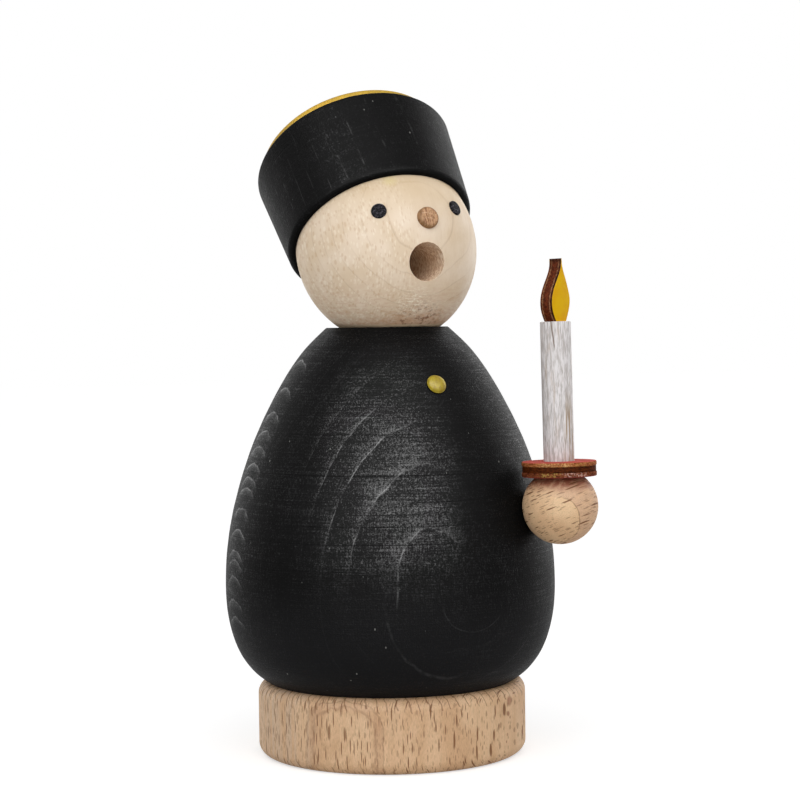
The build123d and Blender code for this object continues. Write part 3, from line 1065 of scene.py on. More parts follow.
class Finish(Graph):
    """A material: its graph, its shader, its colour so far and coordinates in millimetres."""

    def __init__(self, name, roughness=0.5, specular=0.5, metallic=0.0):
        self.material = bpy.data.materials.new(name)
        self.material.use_nodes = True
        super().__init__(self.material.node_tree)
        self.tree.nodes.clear()
        self.shader = self.node("ShaderNodeBsdfPrincipled", {
            "Roughness": roughness,
            "Specular IOR Level": specular,
            "Metallic": metallic,
        })
        self.node("ShaderNodeOutputMaterial", {"Surface": self.shader.outputs[0]})
        self.place = self.node("ShaderNodeTexCoord").outputs["Object"]
        self.colour = None

    def local(self, centre=(0, 0, 0), x_axis=side_dir, z_axis=up_dir):
        """Object coordinates in millimetres from a centre, along the given axes."""
        z_axis = np.asarray(z_axis, float) / np.linalg.norm(z_axis)
        x_axis = np.asarray(x_axis, float) - z_axis * (np.asarray(x_axis, float) @ z_axis)
        x_axis = x_axis / np.linalg.norm(x_axis)
        turn = Matrix([x_axis, np.cross(z_axis, x_axis), z_axis])
        shift = turn @ Vector(-np.asarray(centre, float))
        feeds = {
            "Vector": self.place,
            "Location": shift,
            "Rotation": turn.to_euler("XYZ"),
            "Scale": (1 / MM, 1 / MM, 1 / MM),
        }
        return self.node("ShaderNodeMapping", feeds, vector_type="POINT").outputs[0]

    def local_parts(self, *place):
        """The three parts of such coordinates."""
        return self.split(self.local(*place))

    def near(self, point, reach, softness):
        """1 at a point given in millimetres, and 0 past the reach."""
        away = self.vector("LENGTH", self.local(point))
        return self.between(away, reach - softness, reach + softness, 1.0, 0.0)

    def start(self, mask, first, second):
        """First colour: one tint where the mask is 0, and another where it is 1."""
        self.colour = self.mix(mask, first, second)

    def lay(self, mask, tint):
        """Lays a tint over the colour where the mask is 1."""
        self.colour = self.mix(mask, self.colour, tint)

    def show(self, roughness, height, distance, strength):
        """Feeds the shader with the colour, the roughness and a bump, and gives back the material."""
        self.feed(self.shader.inputs["Base Color"], self.colour)
        self.feed(self.shader.inputs["Roughness"], roughness)
        self.feed(self.shader.inputs["Normal"], self.bump(height, distance, strength))
        return self.material


# Growth rings of the beech: how far off the pith is, their spacing and their waviness
beech_pith_away = 70.0
beech_ring_spacing = 3.6
beech_waviness = 9.0


def beech(name, centre, grain, ray, tints, size=1.0, extras=()):
    """Raw beech: tones in soft bands, fine fibres and thin dark rays, some of them long.

    The grain gives the way of the fibres, and the ray the way from the pith outwards. The
    centre is where the patterns start, and the size scales them.
    """
    made = Finish(name, specular=0.12)
    across = np.cross(ray, grain)
    log = made.local(np.asarray(centre) - np.asarray(ray) * beech_pith_away * size, across, grain)
    here = made.local(centre, across, grain)
    spacing = beech_ring_spacing * size
    waviness = beech_waviness * size
    ring = made.call(rings, Vector=log, Spacing=spacing, Start=0.8, Waviness=waviness, Line=0.04)
    fibre = made.call(fibres, Vector=here, Width=0.11, Run=7.0)
    streak = made.noise(made.stretch(here, (1, 1, 0.06)), 1.1, 4.0, 0.65)
    long_cell = (0.38 * size, 3.6, 4.6 * size)
    short_cell = (0.27 * size, 1.8, 1.9 * size)
    long_ray = made.call(flecks, Vector=here, Cell=long_cell, Share=0.68, Size=0.42)["Mask"]
    short_ray = made.call(flecks, Vector=here, Cell=short_cell, Share=0.75, Size=0.44)["Mask"]
    cloud = made.noise(made.stretch(here, (1, 1, 0.3)), 0.2, 3.0)
    made.start(made.between(cloud, 0.35, 0.65), tints["light"], tints["deep"])
    made.lay(made.times(ring["Late"], 0.3), tints["deep"])
    made.lay(made.times(ring["Line"], 0.12), tints["fleck"])
    for extra in extras:
        made.lay(*extra(made, here))
    made.lay(made.between(fibre["Fine"], 0.3, 0.66, 0.32, 0.0), tints["fleck"])
    made.lay(made.between(streak, 0.4, 0.66, 0.0, 0.4), tints["deep"])
    made.lay(made.times(short_ray, 0.5), tints["fleck"])
    made.lay(made.times(long_ray, 0.95), tints["fleck"])
    height = made.minus(fibre["Fine"], made.times(long_ray, 1.4))
    height = made.minus(height, made.times(short_ray, 0.5))
    rough = made.between(fibre["Broad"], 0.3, 0.7, 0.55, 0.7)
    return made.show(rough, height, 0.06, 0.7)


def knot(turn, height, reach):
    """A knot in the base's side: a soft round spot of a darker tone."""
    point = front_dir(turn) * base_radius + (0, 0, height)

    def mark(made, here):
        """The knot's mask and tint."""
        return made.times(made.near(point, reach, reach * 0.4), 0.85), beech_tints["knot"]

    return mark


def photo_parts(made):
    """Coordinates to the right, away and up as seen from the photograph's side."""
    part = made.local_parts(origin, photo_right, up_dir)
    return [part[key] for key in "XYZ"]


# Grain of the base: an arch in front, greyer bands, and a comb of lines over the edges
arch_aside = 9.2
arch_half_width = 7.5
arch_top = 14.2
arch_band = (0.3, 0.62, 0.92, 1.06)
arch_outer_line = 1.03
arch_inner_line = 0.62
bands_from, bands_to = -12.0, -20.0
comb_step = 2.1
comb_slant = 0.28
comb_top_reach = (2.6, 2.2)
comb_foot_reach = (1.0, 1.5)
comb_side_reach = (4.2, 2.6)


def arch_reach(made, here):
    """How far out a spot is in the base's arch, 1 on its outer edge, and whether it is in front."""
    aside, away, height = photo_parts(made)
    across = made.over(made.plus(aside, arch_aside), arch_half_width)
    side_share = made.math("POWER", made.math("ABSOLUTE", across), 2.6)
    rise_share = made.math("POWER", made.over(height, arch_top), 6.0)
    reach = made.plus(made.plus(side_share, rise_share), made.wander(here, 0.35, 3.0, 0.7))
    return reach, made.below(away, 0.0)


def base_arch(made, here):
    """Band of darker, pinkish wood between two rounded arches, one in the other."""
    reach, front = arch_reach(made, here)
    inner_low, inner_high, outer_low, outer_high = arch_band
    band = made.times(
        made.between(reach, inner_low, inner_high),
        made.between(reach, outer_low, outer_high, 1.0, 0.0),
    )
    return made.times(band, front, 0.34), beech_tints["arch"]


def base_arch_line(made, here):
    """The arch's thin outer line, and a fainter one inside it."""
    reach, front = arch_reach(made, here)
    outer = made.line(reach, arch_outer_line, 0.02, 0.09, 0.4)
    inner = made.line(reach, arch_inner_line, 0.02, 0.09, 0.3)
    return made.times(made.most(outer, inner), front), beech_tints["fleck"]


def base_bands(made, here):
    """Soft upright bands of greyer wood where the rings run out at the photograph's left."""
    aside = photo_parts(made)[0]
    band = made.noise(made.stretch(here, (1, 1, 0.02)), 0.75, 2.0, 0.4)
    left = made.between(aside, bands_from, bands_to)
    return made.times(made.between(band, 0.42, 0.56, 0.25, 0.75), left), beech_tints["grey"]


def edge_comb(made, here):
    """Short dark lines over the rounded edges, one for each step of the distance run round."""
    place = made.local()
    part = made.split(place)
    turn = made.math("ARCTAN2", part["Y"], part["X"])
    run = made.times_plus(turn, base_radius, made.times(made.noise(here, 0.3, 2.0), 2.4))
    run = made.times_plus(part["Z"], comb_slant, run)
    line = made.line(made.math("FRACT", made.over(run, comb_step)), 0.5, 0.045, 0.09)
    height = made.plus(part["Z"], made.wander(here, 0.5, 2.0, 3.0))
    high = made.between(height, *(base_height - reach for reach in comb_top_reach))
    low = made.between(height, *comb_foot_reach, 0.8, 0.0)
    radius = made.length(place, (1, 1, 0))
    at_edge = made.between(radius, *(base_radius - reach for reach in comb_side_reach))
    mask = made.times(made.most(high, low), at_edge)
    return made.times(line, mask, 0.75), beech_tints["fleck"]


# Grain of the ball: the line of a growth ring, and pinkish wood past it
ball_ring_from = np.array([-4.6, -5.2, -2.8])
ball_ring_reach = 5.3
ball_aside = ball_centre @ photo_right


def ball_ring(made, here):
    """Distance from the middle of the ball's ring, and the place to the photograph's right."""
    away = made.vector("LENGTH", made.local(ball_centre + ball_ring_from))
    return made.plus(away, made.wander(here, 0.25, 2.0, 1.6)), photo_parts(made)[0]


def ball_side(made, here):
    """Pinkish wood on the outer side, past the line of a growth ring."""
    away, aside = ball_ring(made, here)
    right = made.between(aside, ball_aside - 4.5, ball_aside + 1.5, 0.2, 1.0)
    past = made.between(away, ball_ring_reach, ball_ring_reach + 0.12, 0.0, 0.7)
    return made.times(past, right), ball_tints["pink"]


def ball_line(made, here):
    """The ring's own thin line."""
    away, aside = ball_ring(made, here)
    right = made.between(aside, ball_aside - 1.5, ball_aside + 1.5)
    return made.times(made.line(away, ball_ring_reach, 0.05, 0.16, 0.6), right), beech_tints["fleck"]


def ball_under_tray(made, here):
    """Red-brown band just under the tray: red paint bled from the tray, with painted shade and a
    painted reflection of the tray's red underside.
    """
    height = made.local_parts(ball_centre, hand_side, hand_up)["Z"]
    height = made.plus(height, made.wander(here, 0.6, 3.0, 1.0))
    # Painted shade and painted reflection of the tray's red underside, over paint bled onto the ball
    return made.between(height, tray_low - 3.2, tray_low - 1.0, 0.0, 0.9), ball_tints["glue"]


def black_stain(name, centre, axis, shift, dull_and_painted_fill, extras, scores=()):
    """Black stain under a thin matt lacquer that shines only here and there.

    The stain itself is nearly black. What shows is the lacquer: it lies in small patches
    between the pores, along the tool marks, and thickest on the lines of the growth rings.
    The shift makes it thicker or thinner all over, and it is thinner below the given heights,
    where the colour is also painted lighter as painted fill light from below.
    """
    made = Finish(name, specular=0.02)
    made.shader.inputs["Coat Roughness"].default_value = 0.28
    here = made.local(centre, side_dir, axis)
    height = made.split(here)["Z"]
    pore = made.noise(made.stretch(here, (1, 1, 0.22)), 4.0, 2.0, 0.6)
    patch = made.noise(made.stretch(here, (1, 1, 1.4)), 3.3, 2.0, 0.7)
    tool = made.call(lathe_marks, Vector=here, Pitch=0.22)
    cloud = made.noise(made.stretch(here, (1, 1, 0.7)), 0.11, 3.0, 0.6)
    pattern = made.times_plus(pore, 0.4, made.times(patch, 0.6))
    pattern = made.times_plus(made.minus(tool["Height"], 0.5), 0.3, pattern)
    pattern = made.times_plus(made.minus(cloud, 0.5), 0.16, pattern)
    score = tool["Score"]
    for at, reach in scores:
        line = made.line(height, at, reach * 0.4, reach)
        score = made.most(score, made.times(line, made.between(patch, 0.3, 0.5)))
    lines = 0.0
    zone = shift
    for extra in extras:
        line, lift = extra(made, here)
        lines = made.most(line, lines)
        zone = made.plus(zone, lift)
    lines = made.times(lines, made.between(patch, 0.3, 0.55, 0.45, 1.0))
    shine = made.between(made.plus(pattern, zone), 0.48, 0.78, 0.01, 0.42)
    shine = made.times(shine, made.times_plus(score, -0.9, 1.0))
    shine = made.times(shine, made.between(height, *dull_and_painted_fill, 0.4, 1.0))
    shine = made.times_plus(lines, 0.5, shine, clamp=True)
    made.feed(made.shader.inputs["Coat Weight"], shine)
    dust = made.call(specks, Vector=here, Spacing=2.2, Share=0.34, Size=0.2)["Mask"]
    made.start(made.between(pattern, 0.5, 0.7), black_tints["deep"], black_tints["thin"])
    # Painted fill light: below the given heights the colour is painted lighter, for light thrown up
    # from the floor and base
    made.lay(made.between(height, *dull_and_painted_fill, 0.9, 0.0), black_tints["low"])
    made.lay(made.times(lines, 0.7), black_tints["line"])
    made.lay(made.times(dust, 0.6), black_tints["dust"])
    rough = made.between(pattern, 0.45, 0.72, 0.52, 0.4)
    return made.show(rough, made.minus(pattern, made.times(score, 0.5)), 0.11, 0.9)


# Growth rings on the black body: the log's pith runs upright behind the figure
body_pith = (3.1, 90.0)
body_ring_spacing = 3.5
body_ring_start = body_pith[1] + body_radius - 1.3
body_oval = (1.2, 33.7)

# Lacquer on body and hat: it thins between its pair of heights, and below them the colour is
# painted lighter as painted fill light from below; the shift makes it thicker or thinner all
# over; a score is a deep tool mark with its height and half width
body_dull_and_painted_fill = (24.0, 40.0)
body_shift = -0.032
body_scores = [(58.6, 0.12), (49.0, 0.09), (45.6, 0.11), (53.6, 0.05), (66.4, 0.06)]
hat_dull_and_painted_fill = (0.0, 4.0)
hat_shift = -0.08

# Ovals on the photograph's side: aside, height, half width and half height; a ring's own
# oval also says how far it runs
polish_oval = (1.5, 58.0, 10.0, 20.0)
oval_rings = [((11.2, 35.8, 12.3, 16.5), 0.1), ((16.2, 34.4, 6.1, 6.1), 0.7)]

# Arches at the figure's right: where they face, their bend and the heights of their tops
arch_turn = -94.0
arch_bend = 0.09
arch_glow_depth = 1.5
arch_heights = [
    80.7, 75.2, 70.4, 66.7, 63.6, 60.2, 57.5, 55.4, 51.3, 47.0, 42.8, 40.9, 37.6, 33.0, 29.5,
]


def body_rings(made, here):
    """Thin light ring lines, broken by the stain, finer towards the oval in front.

    They show where five fades meet. Three of them slant over the photograph's side, one is
    upright and one is level.
    """
    aside = photo_parts(made)[0]
    height = made.split(here)["Z"]
    left = made.between(made.times_plus(height, 1.1, aside), 36.0, 42.0, 0.12, 1.0)
    right = made.between(made.times_plus(height, 0.52, aside), 37.0, 43.0, 1.0, 0.1)
    lower_right = made.between(made.times_plus(height, -0.25, aside), -8.0, -4.5, 1.0, 0.3)
    far_left = made.between(aside, -18.0, -13.0, 0.1, 1.0)
    low = made.between(height, 66.0, 74.0, 1.0, 0.2)
    seen = made.times(left, right, far_left, low)
    oval_at = made.local((body_oval[0], -body_radius, body_oval[1]))
    width = made.between(made.length(oval_at, (1, 0, 0.62)), 2.0, 28.0, 0.008, 0.036)
    log = made.local((*body_pith, 0.0))
    ring = made.call(
        rings, Vector=log, Spacing=body_ring_spacing, Start=body_ring_start, Waviness=3.0, Line=width,
    )
    broken = made.between(made.noise(here, 0.3, 3.0), 0.42, 0.64, 0.0, 1.0)
    edge = made.times(ring["Line"], made.times_plus(broken, 0.8, 0.05))
    lift = made.times_plus(ring["Late"], 0.09, made.times(ring["Tone"], 0.05))
    return made.times(edge, seen, lower_right), made.times(lift, made.times_plus(seen, 0.7, 0.3))


def oval_shares(made, aside, height, oval):
    """Place in an oval, as shares of its half width and height, and the sum of their squares."""
    middle_aside, middle_height, half_width, half_height = oval
    across = made.over(made.minus(aside, middle_aside), half_width)
    rise = made.over(made.minus(height, middle_height), half_height)
    return across, rise, made.plus(made.times(across, across), made.times(rise, rise))


def body_polish(made, here):
    """Patch of thicker lacquer in the middle of the photograph's side."""
    aside, away, height = photo_parts(made)
    reach = oval_shares(made, aside, height, polish_oval)[2]
    return 0.0, made.times(made.between(reach, 0.0, 1.0, 0.06, 0.0), made.below(away, 0.0))


def body_ovals(made, here):
    """Bottoms of two faint ovals, low on the photograph's side, where a ring is cut tangentially."""
    aside, away, height = photo_parts(made)
    wander = made.wander(here, 0.3, 3.0, 0.09)
    line = 0.0
    for oval, end in oval_rings:
        across, rise, reach = oval_shares(made, aside, height, oval)
        edge = made.line(made.plus(made.math("SQRT", reach), wander), 1.0, 0.004, 0.03, 0.4)
        under = made.between(rise, -0.5, 0.0, 1.0, 0.0)
        short = made.between(across, end - 0.3, end + 0.3, 1.0, 0.0)
        line = made.most(made.times(edge, under, short), line)
    broken = made.between(made.noise(here, 0.5, 3.0), 0.36, 0.6, 0.25, 1.0)
    return made.times(line, broken, made.below(away, 0.0)), 0.0


def side_arches(made, here):
    """Narrow arches, one above the other, where the grain bulges at the figure's right side.

    Each is a line on which the height plus a share of the square of the way across stays the
    same, with a glow under it that fades downwards.
    """
    part = made.local_parts(origin, front_dir(arch_turn), up_dir)
    bend = made.times(part["Y"], part["Y"])
    height = made.times_plus(bend, arch_bend, made.plus(part["Z"], made.wander(here, 0.4, 2.0, 1.2)))
    line = 0.0
    for at in arch_heights:
        under = made.minus(height, at)
        fading = made.between(under, -arch_glow_depth, 0.0, 0.0, 0.3)
        glow = made.times(fading, made.below(under, 0.0))
        line = made.most(glow, line)
        line = made.most(made.line(height, at, 0.05, 0.26, 0.85), line)
    narrow = made.between(bend, 9.0, 26.0, 1.0, 0.0)
    side = made.between(part["X"], 10.0, 15.0)
    uneven = made.between(made.noise(here, 0.5, 3.0), 0.35, 0.6, 0.4, 1.0)
    return made.times(line, uneven, made.times(side, narrow)), 0.0


def hat_lines(made, here):
    """Faint ring lines down the hat, most of them lost in the stain."""
    log = made.local(head_centre + front_dir(30.0) * -60.0, side_dir, crown_dir)
    ring = made.call(rings, Vector=log, Spacing=3.4, Start=1.1, Waviness=3.0, Line=0.05)
    broken = made.between(made.noise(here, 0.25, 3.0), 0.5, 0.68, 0.0, 0.35)
    return made.times(ring["Line"], broken), made.times(ring["Late"], 0.03)


# Wood of the head: where its rings face, and its marks by place and reach
head_rings_face = front_dir(3.0, 22.0)
head_pith_away = 120.0
head_ring_start = head_pith_away + head_radius - 0.9
scorched_at = (0.5, -12.5, head_low[2] + 1.3)
scratched_at = (-1.6, -15.4, head_low[2] + 5.2)
resin_at = head_centre + front_dir(-22.0, 45.0) * 19.3
mouth_at = (0, 0, mouth_z)


def maple(name):
    """Pale maple: faint ring arcs round the face, small flecks at the sides, torn foot."""
    made = Finish(name, specular=0.12)
    tints = maple_tints
    grain = np.cross(side_dir, head_rings_face)
    log = made.local(head_centre - head_rings_face * head_pith_away, side_dir, grain)
    here = made.local(head_centre, side_dir, grain)
    place = made.local()
    part = made.split(place)
    over_saw = made.minus(part["Z"], float(head_low[2]))
    ring = made.call(rings, Vector=log, Spacing=2.55, Start=head_ring_start, Waviness=4.0, Line=0.06)
    fibre = made.call(fibres, Vector=here, Width=0.2, Run=9.0)
    cloud = made.noise(here, 0.12, 2.0)
    made.start(made.between(cloud, 0.35, 0.65), tints["light"], tints["deep"])
    made.lay(made.times(ring["Late"], 0.1), tints["late"])
    made.lay(made.times(ring["Line"], made.between(cloud, 0.35, 0.6, 0.05, 0.3)), tints["line"])
    made.lay(made.between(fibre["Broad"], 0.4, 0.7, 0.0, 0.14), tints["streak"])

    # Small flecks, more of them at the figure's right, and painted shade at the top of the head
    tick = made.call(flecks, Vector=here, Cell=(0.42, 1.0, 1.25), Share=0.7, Size=0.55)
    shorter = made.stretch(here, (1, 1, 0.9))
    pale = made.call(flecks, Vector=shorter, Cell=(0.45, 1.0, 1.35), Share=0.7, Size=0.55)
    at_side = made.between(made.split(here)["X"], 2.0, -8.0, 0.0, 1.0)
    fleck_share = made.between(at_side, 0, 1, 0.08, 0.36)
    made.lay(made.times(tick["Mask"], fleck_share), tints["tick"])
    made.lay(made.times(pale["Mask"], fleck_share), tints["pale"])
    crown = head_centre[2]
    # Painted shade: the colour darkens towards the top of the head, to hold back the strong light
    # from above
    made.lay(made.between(part["Z"], crown + 3.0, crown + 13.0, 0.0, 0.5), tints["forehead"])

    # Low part: mottled, torn over the saw cut, scorched, chipped and scratched
    mottle = made.noise(made.stretch(place, (0.3, 0.3, 1.5)), 1.5, 3.0, 0.65)
    low_part = made.between(part["Z"], mouth_z - 1.0, mouth_z - 10.0)
    mottled = made.times(made.between(mottle, 0.42, 0.64), made.times(low_part, 0.36))
    made.lay(mottled, tints["mottle"])
    torn_noise = made.noise(made.stretch(place, (1, 1, 1.6)), 0.9, 4.0, 0.7)
    level = made.times_plus(torn_noise, -7.0, over_saw)
    level = made.minus(level, made.between(part["X"], -14.0, -2.0, -2.2, 0.0))
    torn = made.between(level, -2.6, 0.2, 0.5, 0.0)
    made.lay(torn, tints["torn"])
    spots = made.noise(made.stretch(here, (1, 1, 1.7)), 1.0, 4.0, 0.7)
    scorched = made.near(scorched_at, 4.6, 2.4)
    made.lay(made.times(scorched, made.between(spots, 0.5, 0.64, 0.0, 0.75)), tints["scorched"])
    chips = made.noise(made.stretch(here, (1, 1, 0.5)), 1.5, 4.0, 0.8)
    chips = made.between(chips, 0.62, 0.7, 0.0, 0.8)
    made.lay(made.times(chips, made.between(over_saw, 1.5, 7.0, 0.7, 0.0)), tints["chip"])
    dash = made.noise(made.stretch(place, (0.8, 0.8, 1.8)), 1.5, 4.0, 0.7)
    scratched = made.near(scratched_at, 3.2, 2.0)
    made.lay(made.times(scratched, made.between(dash, 0.52, 0.6, 0.0, 0.8)), tints["scratch_light"])
    made.lay(made.times(scratched, made.between(dash, 0.32, 0.4, 0.6, 0.0)), tints["scratch_dark"])

    # Drop of resin by the hat's seam, the clean rim of the saw cut, and the drilled mouth
    made.lay(made.times(made.near(resin_at, 1.5, 1.1), 0.3), tints["resin"])
    made.lay(made.between(over_saw, 0.35, 0.6, 0.8, 0.0), tints["sawn"])
    from_mouth = made.local(mouth_at)
    bore = made.length(from_mouth, (1, 0, 1))
    in_bore = made.between(bore, mouth_radius + 0.02, mouth_radius + 0.12, 1.0, 0.0)
    in_bore = made.times(in_bore, made.below(made.split(from_mouth)["Y"], 0.5))
    drilled = made.call(fibres, Vector=here, Width=0.35, Run=3.0)["Fine"]
    drilled = made.between(drilled, 0.4, 0.6)
    made.lay(in_bore, made.mix(drilled, tints["bore_dark"], tints["bore_light"]))
    height = made.plus(fibre["Fine"], made.times(torn, torn_noise))
    return made.show(made.between(cloud, 0.3, 0.7, 0.5, 0.62), height, 0.04, 0.5)


def gilt():
    """Gold paint on a turned disc: satin, with tool rings and brown where it thins."""
    made = Finish("gold_paint", roughness=0.5, specular=0.05, metallic=0.25)
    here = made.local(head_centre, side_dir, crown_dir)
    part = made.split(here)
    rings_up = {0: part["X"], 1: part["Y"], 2: made.length(here, (1, 1, 0))}
    along = made.node("ShaderNodeCombineXYZ", rings_up).outputs[0]
    tool = made.call(lathe_marks, Vector=along, Pitch=0.5)
    thin = made.noise(here, 0.8, 4.0, 0.65)
    tone = made.between(tool["Height"], 0.25, 0.75)
    made.start(tone, gold_tints["disc_light"], gold_tints["disc_deep"])
    made.lay(made.between(thin, 0.6, 0.74, 0.0, 0.5), gold_tints["disc_thin"])
    return made.show(made.between(thin, 0.3, 0.7, 0.36, 0.52), tool["Height"], 0.05, 0.5)


def black_peg(name, place):
    """Stained end grain: black, with small open pores."""
    made = Finish(name, specular=0.015)
    here = made.local(head_centre, side_dir, front_dir(*place))
    pore = made.noise(made.stretch(here, (1, 1, 0.2)), 2.6, 4.0, 0.75)
    made.start(made.between(pore, 0.5, 0.62), peg_tints["black"], peg_tints["pore"])
    return made.show(made.between(pore, 0.3, 0.7, 0.5, 0.35), pore, 0.12, 0.7)


def nose_finish():
    """Raw end grain: rays from one side to the other and a rim that is darker towards the edge."""
    made = Finish("nose_end_grain", specular=0.1)
    here = made.local(head_centre, side_dir, front_dir(*face_places["nose"]))
    streak = made.noise(made.stretch(here, (1.8, 0.45, 0.2)), 1.6, 4.0, 0.7)
    crossing = made.noise(made.stretch(here, (0.5, 1.6, 0.2)), 1.3, 4.0, 0.7)
    made.start(made.between(streak, 0.42, 0.62), peg_tints["end"], peg_tints["end_dark"])
    made.lay(made.between(crossing, 0.56, 0.66, 0.0, 0.7), peg_tints["end_light"])
    away = made.length(here, (1, 1, 0))
    made.lay(made.between(away, nose_radius - 0.7, nose_radius - 0.1, 0.0, 0.6), peg_tints["rim"])
    return made.show(0.6, made.plus(streak, crossing), 0.15, 0.8)


def button_finish():
    """Yellow gold paint on the tack, in cloudy patches of two tones."""
    made = Finish("button_gold", roughness=0.4, specular=0.12)
    patch = made.noise(made.local(button_seat, side_dir, button_facing), 0.8, 3.0, 0.6)
    made.start(made.between(patch, 0.35, 0.65), gold_tints["button_light"], gold_tints["button_deep"])
    return made.show(made.between(patch, 0.3, 0.7, 0.3, 0.45), patch, 0.08, 0.5)


def ply_finish(name, painted, look, glints):
    """Cut edge of a ply, charred by the cut, and the red faces of the tray.

    The look names the edge's tints. Each glint is a painted highlight on the charred edge:
    stitched pale patches from one place aside to another, in one tint.
    """
    made = Finish(name, specular=0.01)
    tints = ply_tints
    here = made.local(ball_centre, hand_side, hand_up)
    height = made.split(here)["Z"]
    aside = made.local_parts(ball_centre, photo_right, hand_up)["X"]
    streaks = made.noise(made.stretch(here, (1.2, 1.2, 3.0)), 1.4, 4.0, 0.7)
    made.start(made.between(streaks, 0.38, 0.62), tints[look + "_dark"], tints[look + "_light"])
    stitch = made.noise(made.stretch(here, (1, 1, 0.75)), 2.6, 3.0, 0.7)
    # Painted highlights: pale stitched glints laid over the char, placed across the edge as it is
    # seen
    for low, high, tint in glints:
        within = made.times(
            made.between(aside, low, low + 1.6),
            made.between(aside, high - 1.6, high, 1.0, 0.0),
        )
        made.lay(made.times(made.between(stitch, 0.48, 0.6, 0.0, 0.85), within), tints[tint])
    thin = made.noise(here, 0.9, 3.0)
    if painted:
        top = made.between(height, tray_high - 0.12, tray_high - 0.05)
        made.lay(top, made.mix(thin, tints["red_deep"], tints["red_thin"]))
    else:
        foot = made.between(height, tray_low + 0.1, tray_low + 0.22, 1.0, 0.0)
        made.lay(foot, made.mix(thin, tints["red_low_deep"], tints["red_low_thin"]))
    return made.show(made.between(streaks, 0.3, 0.7, 0.5, 0.7), streaks, 0.12, 0.8)


def candle_finish():
    """White paint brushed thin: brown wood shows in long streaks, and grey in the hollows."""
    made = Finish("candle_white", specular=0.15)
    tints = candle_tints
    here = made.local(ball_centre, hand_side, hand_up)
    seen = made.local_parts(ball_centre, photo_right, hand_up)
    fibre = made.call(fibres, Vector=here, Width=0.26, Run=9.0)["Fine"]
    worn = made.noise(made.stretch(here, (1, 1, 0.1)), 1.5, 4.0, 0.65)
    crack = made.call(flecks, Vector=here, Cell=(0.42, 0.42, 3.2), Share=0.5, Size=0.3)["Mask"]
    made.start(made.between(fibre, 0.36, 0.6), tints["hollow"], tints["paint"])
    made.lay(made.between(worn, 0.52, 0.7, 0.0, 0.5), tints["worn"])
    right_low = made.times(made.between(seen["X"], 0.6, 1.4), made.between(seen["Z"], 24.0, 17.0))
    lines = made.noise(made.stretch(here, (1, 1, 0.05)), 2.2, 2.0)
    made.lay(made.times(made.between(lines, 0.46, 0.56, 0.0, 0.85), right_low), tints["wood"])
    made.lay(made.times(crack, 0.6), tints["crack"])
    slope = made.times_plus(made.minus(seen["Z"], candle_top), -0.11, crack_aside)
    split = made.times(
        made.line(seen["X"], slope, 0.05, 0.17, 0.85),
        made.between(seen["Z"], candle_top - 6.0, candle_top - 4.0),
        made.below(seen["Y"], 0.0),
    )
    made.lay(split, tints["split"])
    return made.show(0.6, made.minus(fibre, made.plus(crack, split)), 0.08, 0.7)


def flame_finish():
    """Yellow paint on both faces, and the burnt edge of three plies between them."""
    made = Finish("flame_paint", specular=0.03)
    tints = flame_tints
    foot = ball_centre + hand_up * candle_top
    half = flame_thickness / 2
    here = made.local(foot, flame_across, hand_up)
    across = made.local_parts(foot, flame_across, flame_face_dir)["Z"]
    depth = made.plus(across, made.wander(here, 1.6, 3.0, 0.5))
    char = made.noise(here, 2.2, 4.0, 0.7)
    charred = made.between(char, 0.4, 0.6)
    ply = made.mix(charred, tints["ply_dark"], tints["ply_light"])
    made.start(charred, tints["core_dark"], tints["core_light"])
    front_line = made.line(depth, half * 0.56, 0.1, 0.2, 0.9)
    made.lay(made.times(front_line, made.between(char, 0.3, 0.5, 0.0, 0.6)), ply)
    made.lay(made.times(made.line(depth, half * -0.62, 0.1, 0.2, 0.9), 0.6), ply)
    tip = made.between(made.split(here)["Z"], flame_height - 1.2, flame_height - 0.2, 0.0, 0.8)
    made.lay(tip, tints["tip"])
    made.lay(made.between(made.noise(here, 1.1, 3.0), 0.55, 0.68, 0.0, 0.8), tints["soot"])
    beside = made.line(across, half * 0.84, 0.16, 0.26)
    dots = made.between(made.noise(here, 1.9, 2.0), 0.42, 0.54, 0.25, 1.0)
    made.lay(made.times(beside, dots), tints["dots"])
    patch = made.between(made.noise(here, 0.35, 3.0), 0.35, 0.65)
    yellow = made.mix(patch, tints["yellow"], tints["yellow_deep"])
    from_middle = made.math("ABSOLUTE", across)
    made.lay(made.between(from_middle, half - 0.09, half - 0.03), yellow)
    return made.show(made.between(char, 0.3, 0.7, 0.42, 0.6), char, 0.06, 0.4)


def metal(name, bright, dark, roughness):
    """Stamped or drawn metal: fine scratches and a cloudy tarnish."""
    made = Finish(name, metallic=1.0)
    here = made.local()
    cloud = made.noise(here, 0.35, 4.0, 0.6)
    scratch = made.noise(made.stretch(here, (0.4, 6.0, 1.0)), 1.2, 3.0, 0.6)
    made.start(made.between(cloud, 0.4, 0.7), metal_tints[bright], metal_tints[dark])
    return made.show(made.between(cloud, 0.3, 0.7, roughness, roughness + 0.2), scratch, 0.02, 0.4)


# Assembly

def dress(piece, material, body, slot, *nodes):
    """Gives a piece its material and the body that it rides on, and hides the nodes it stands for;
    the slot is not used.
    """
    piece.data.materials.clear()
    piece.data.materials.append(material)
    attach(piece, body)
    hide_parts(*nodes)


def keep(node, material):
    """A CAD node that stays gets a finished material."""
    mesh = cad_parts[node].data
    mesh.materials.clear()
    mesh.materials.append(material)


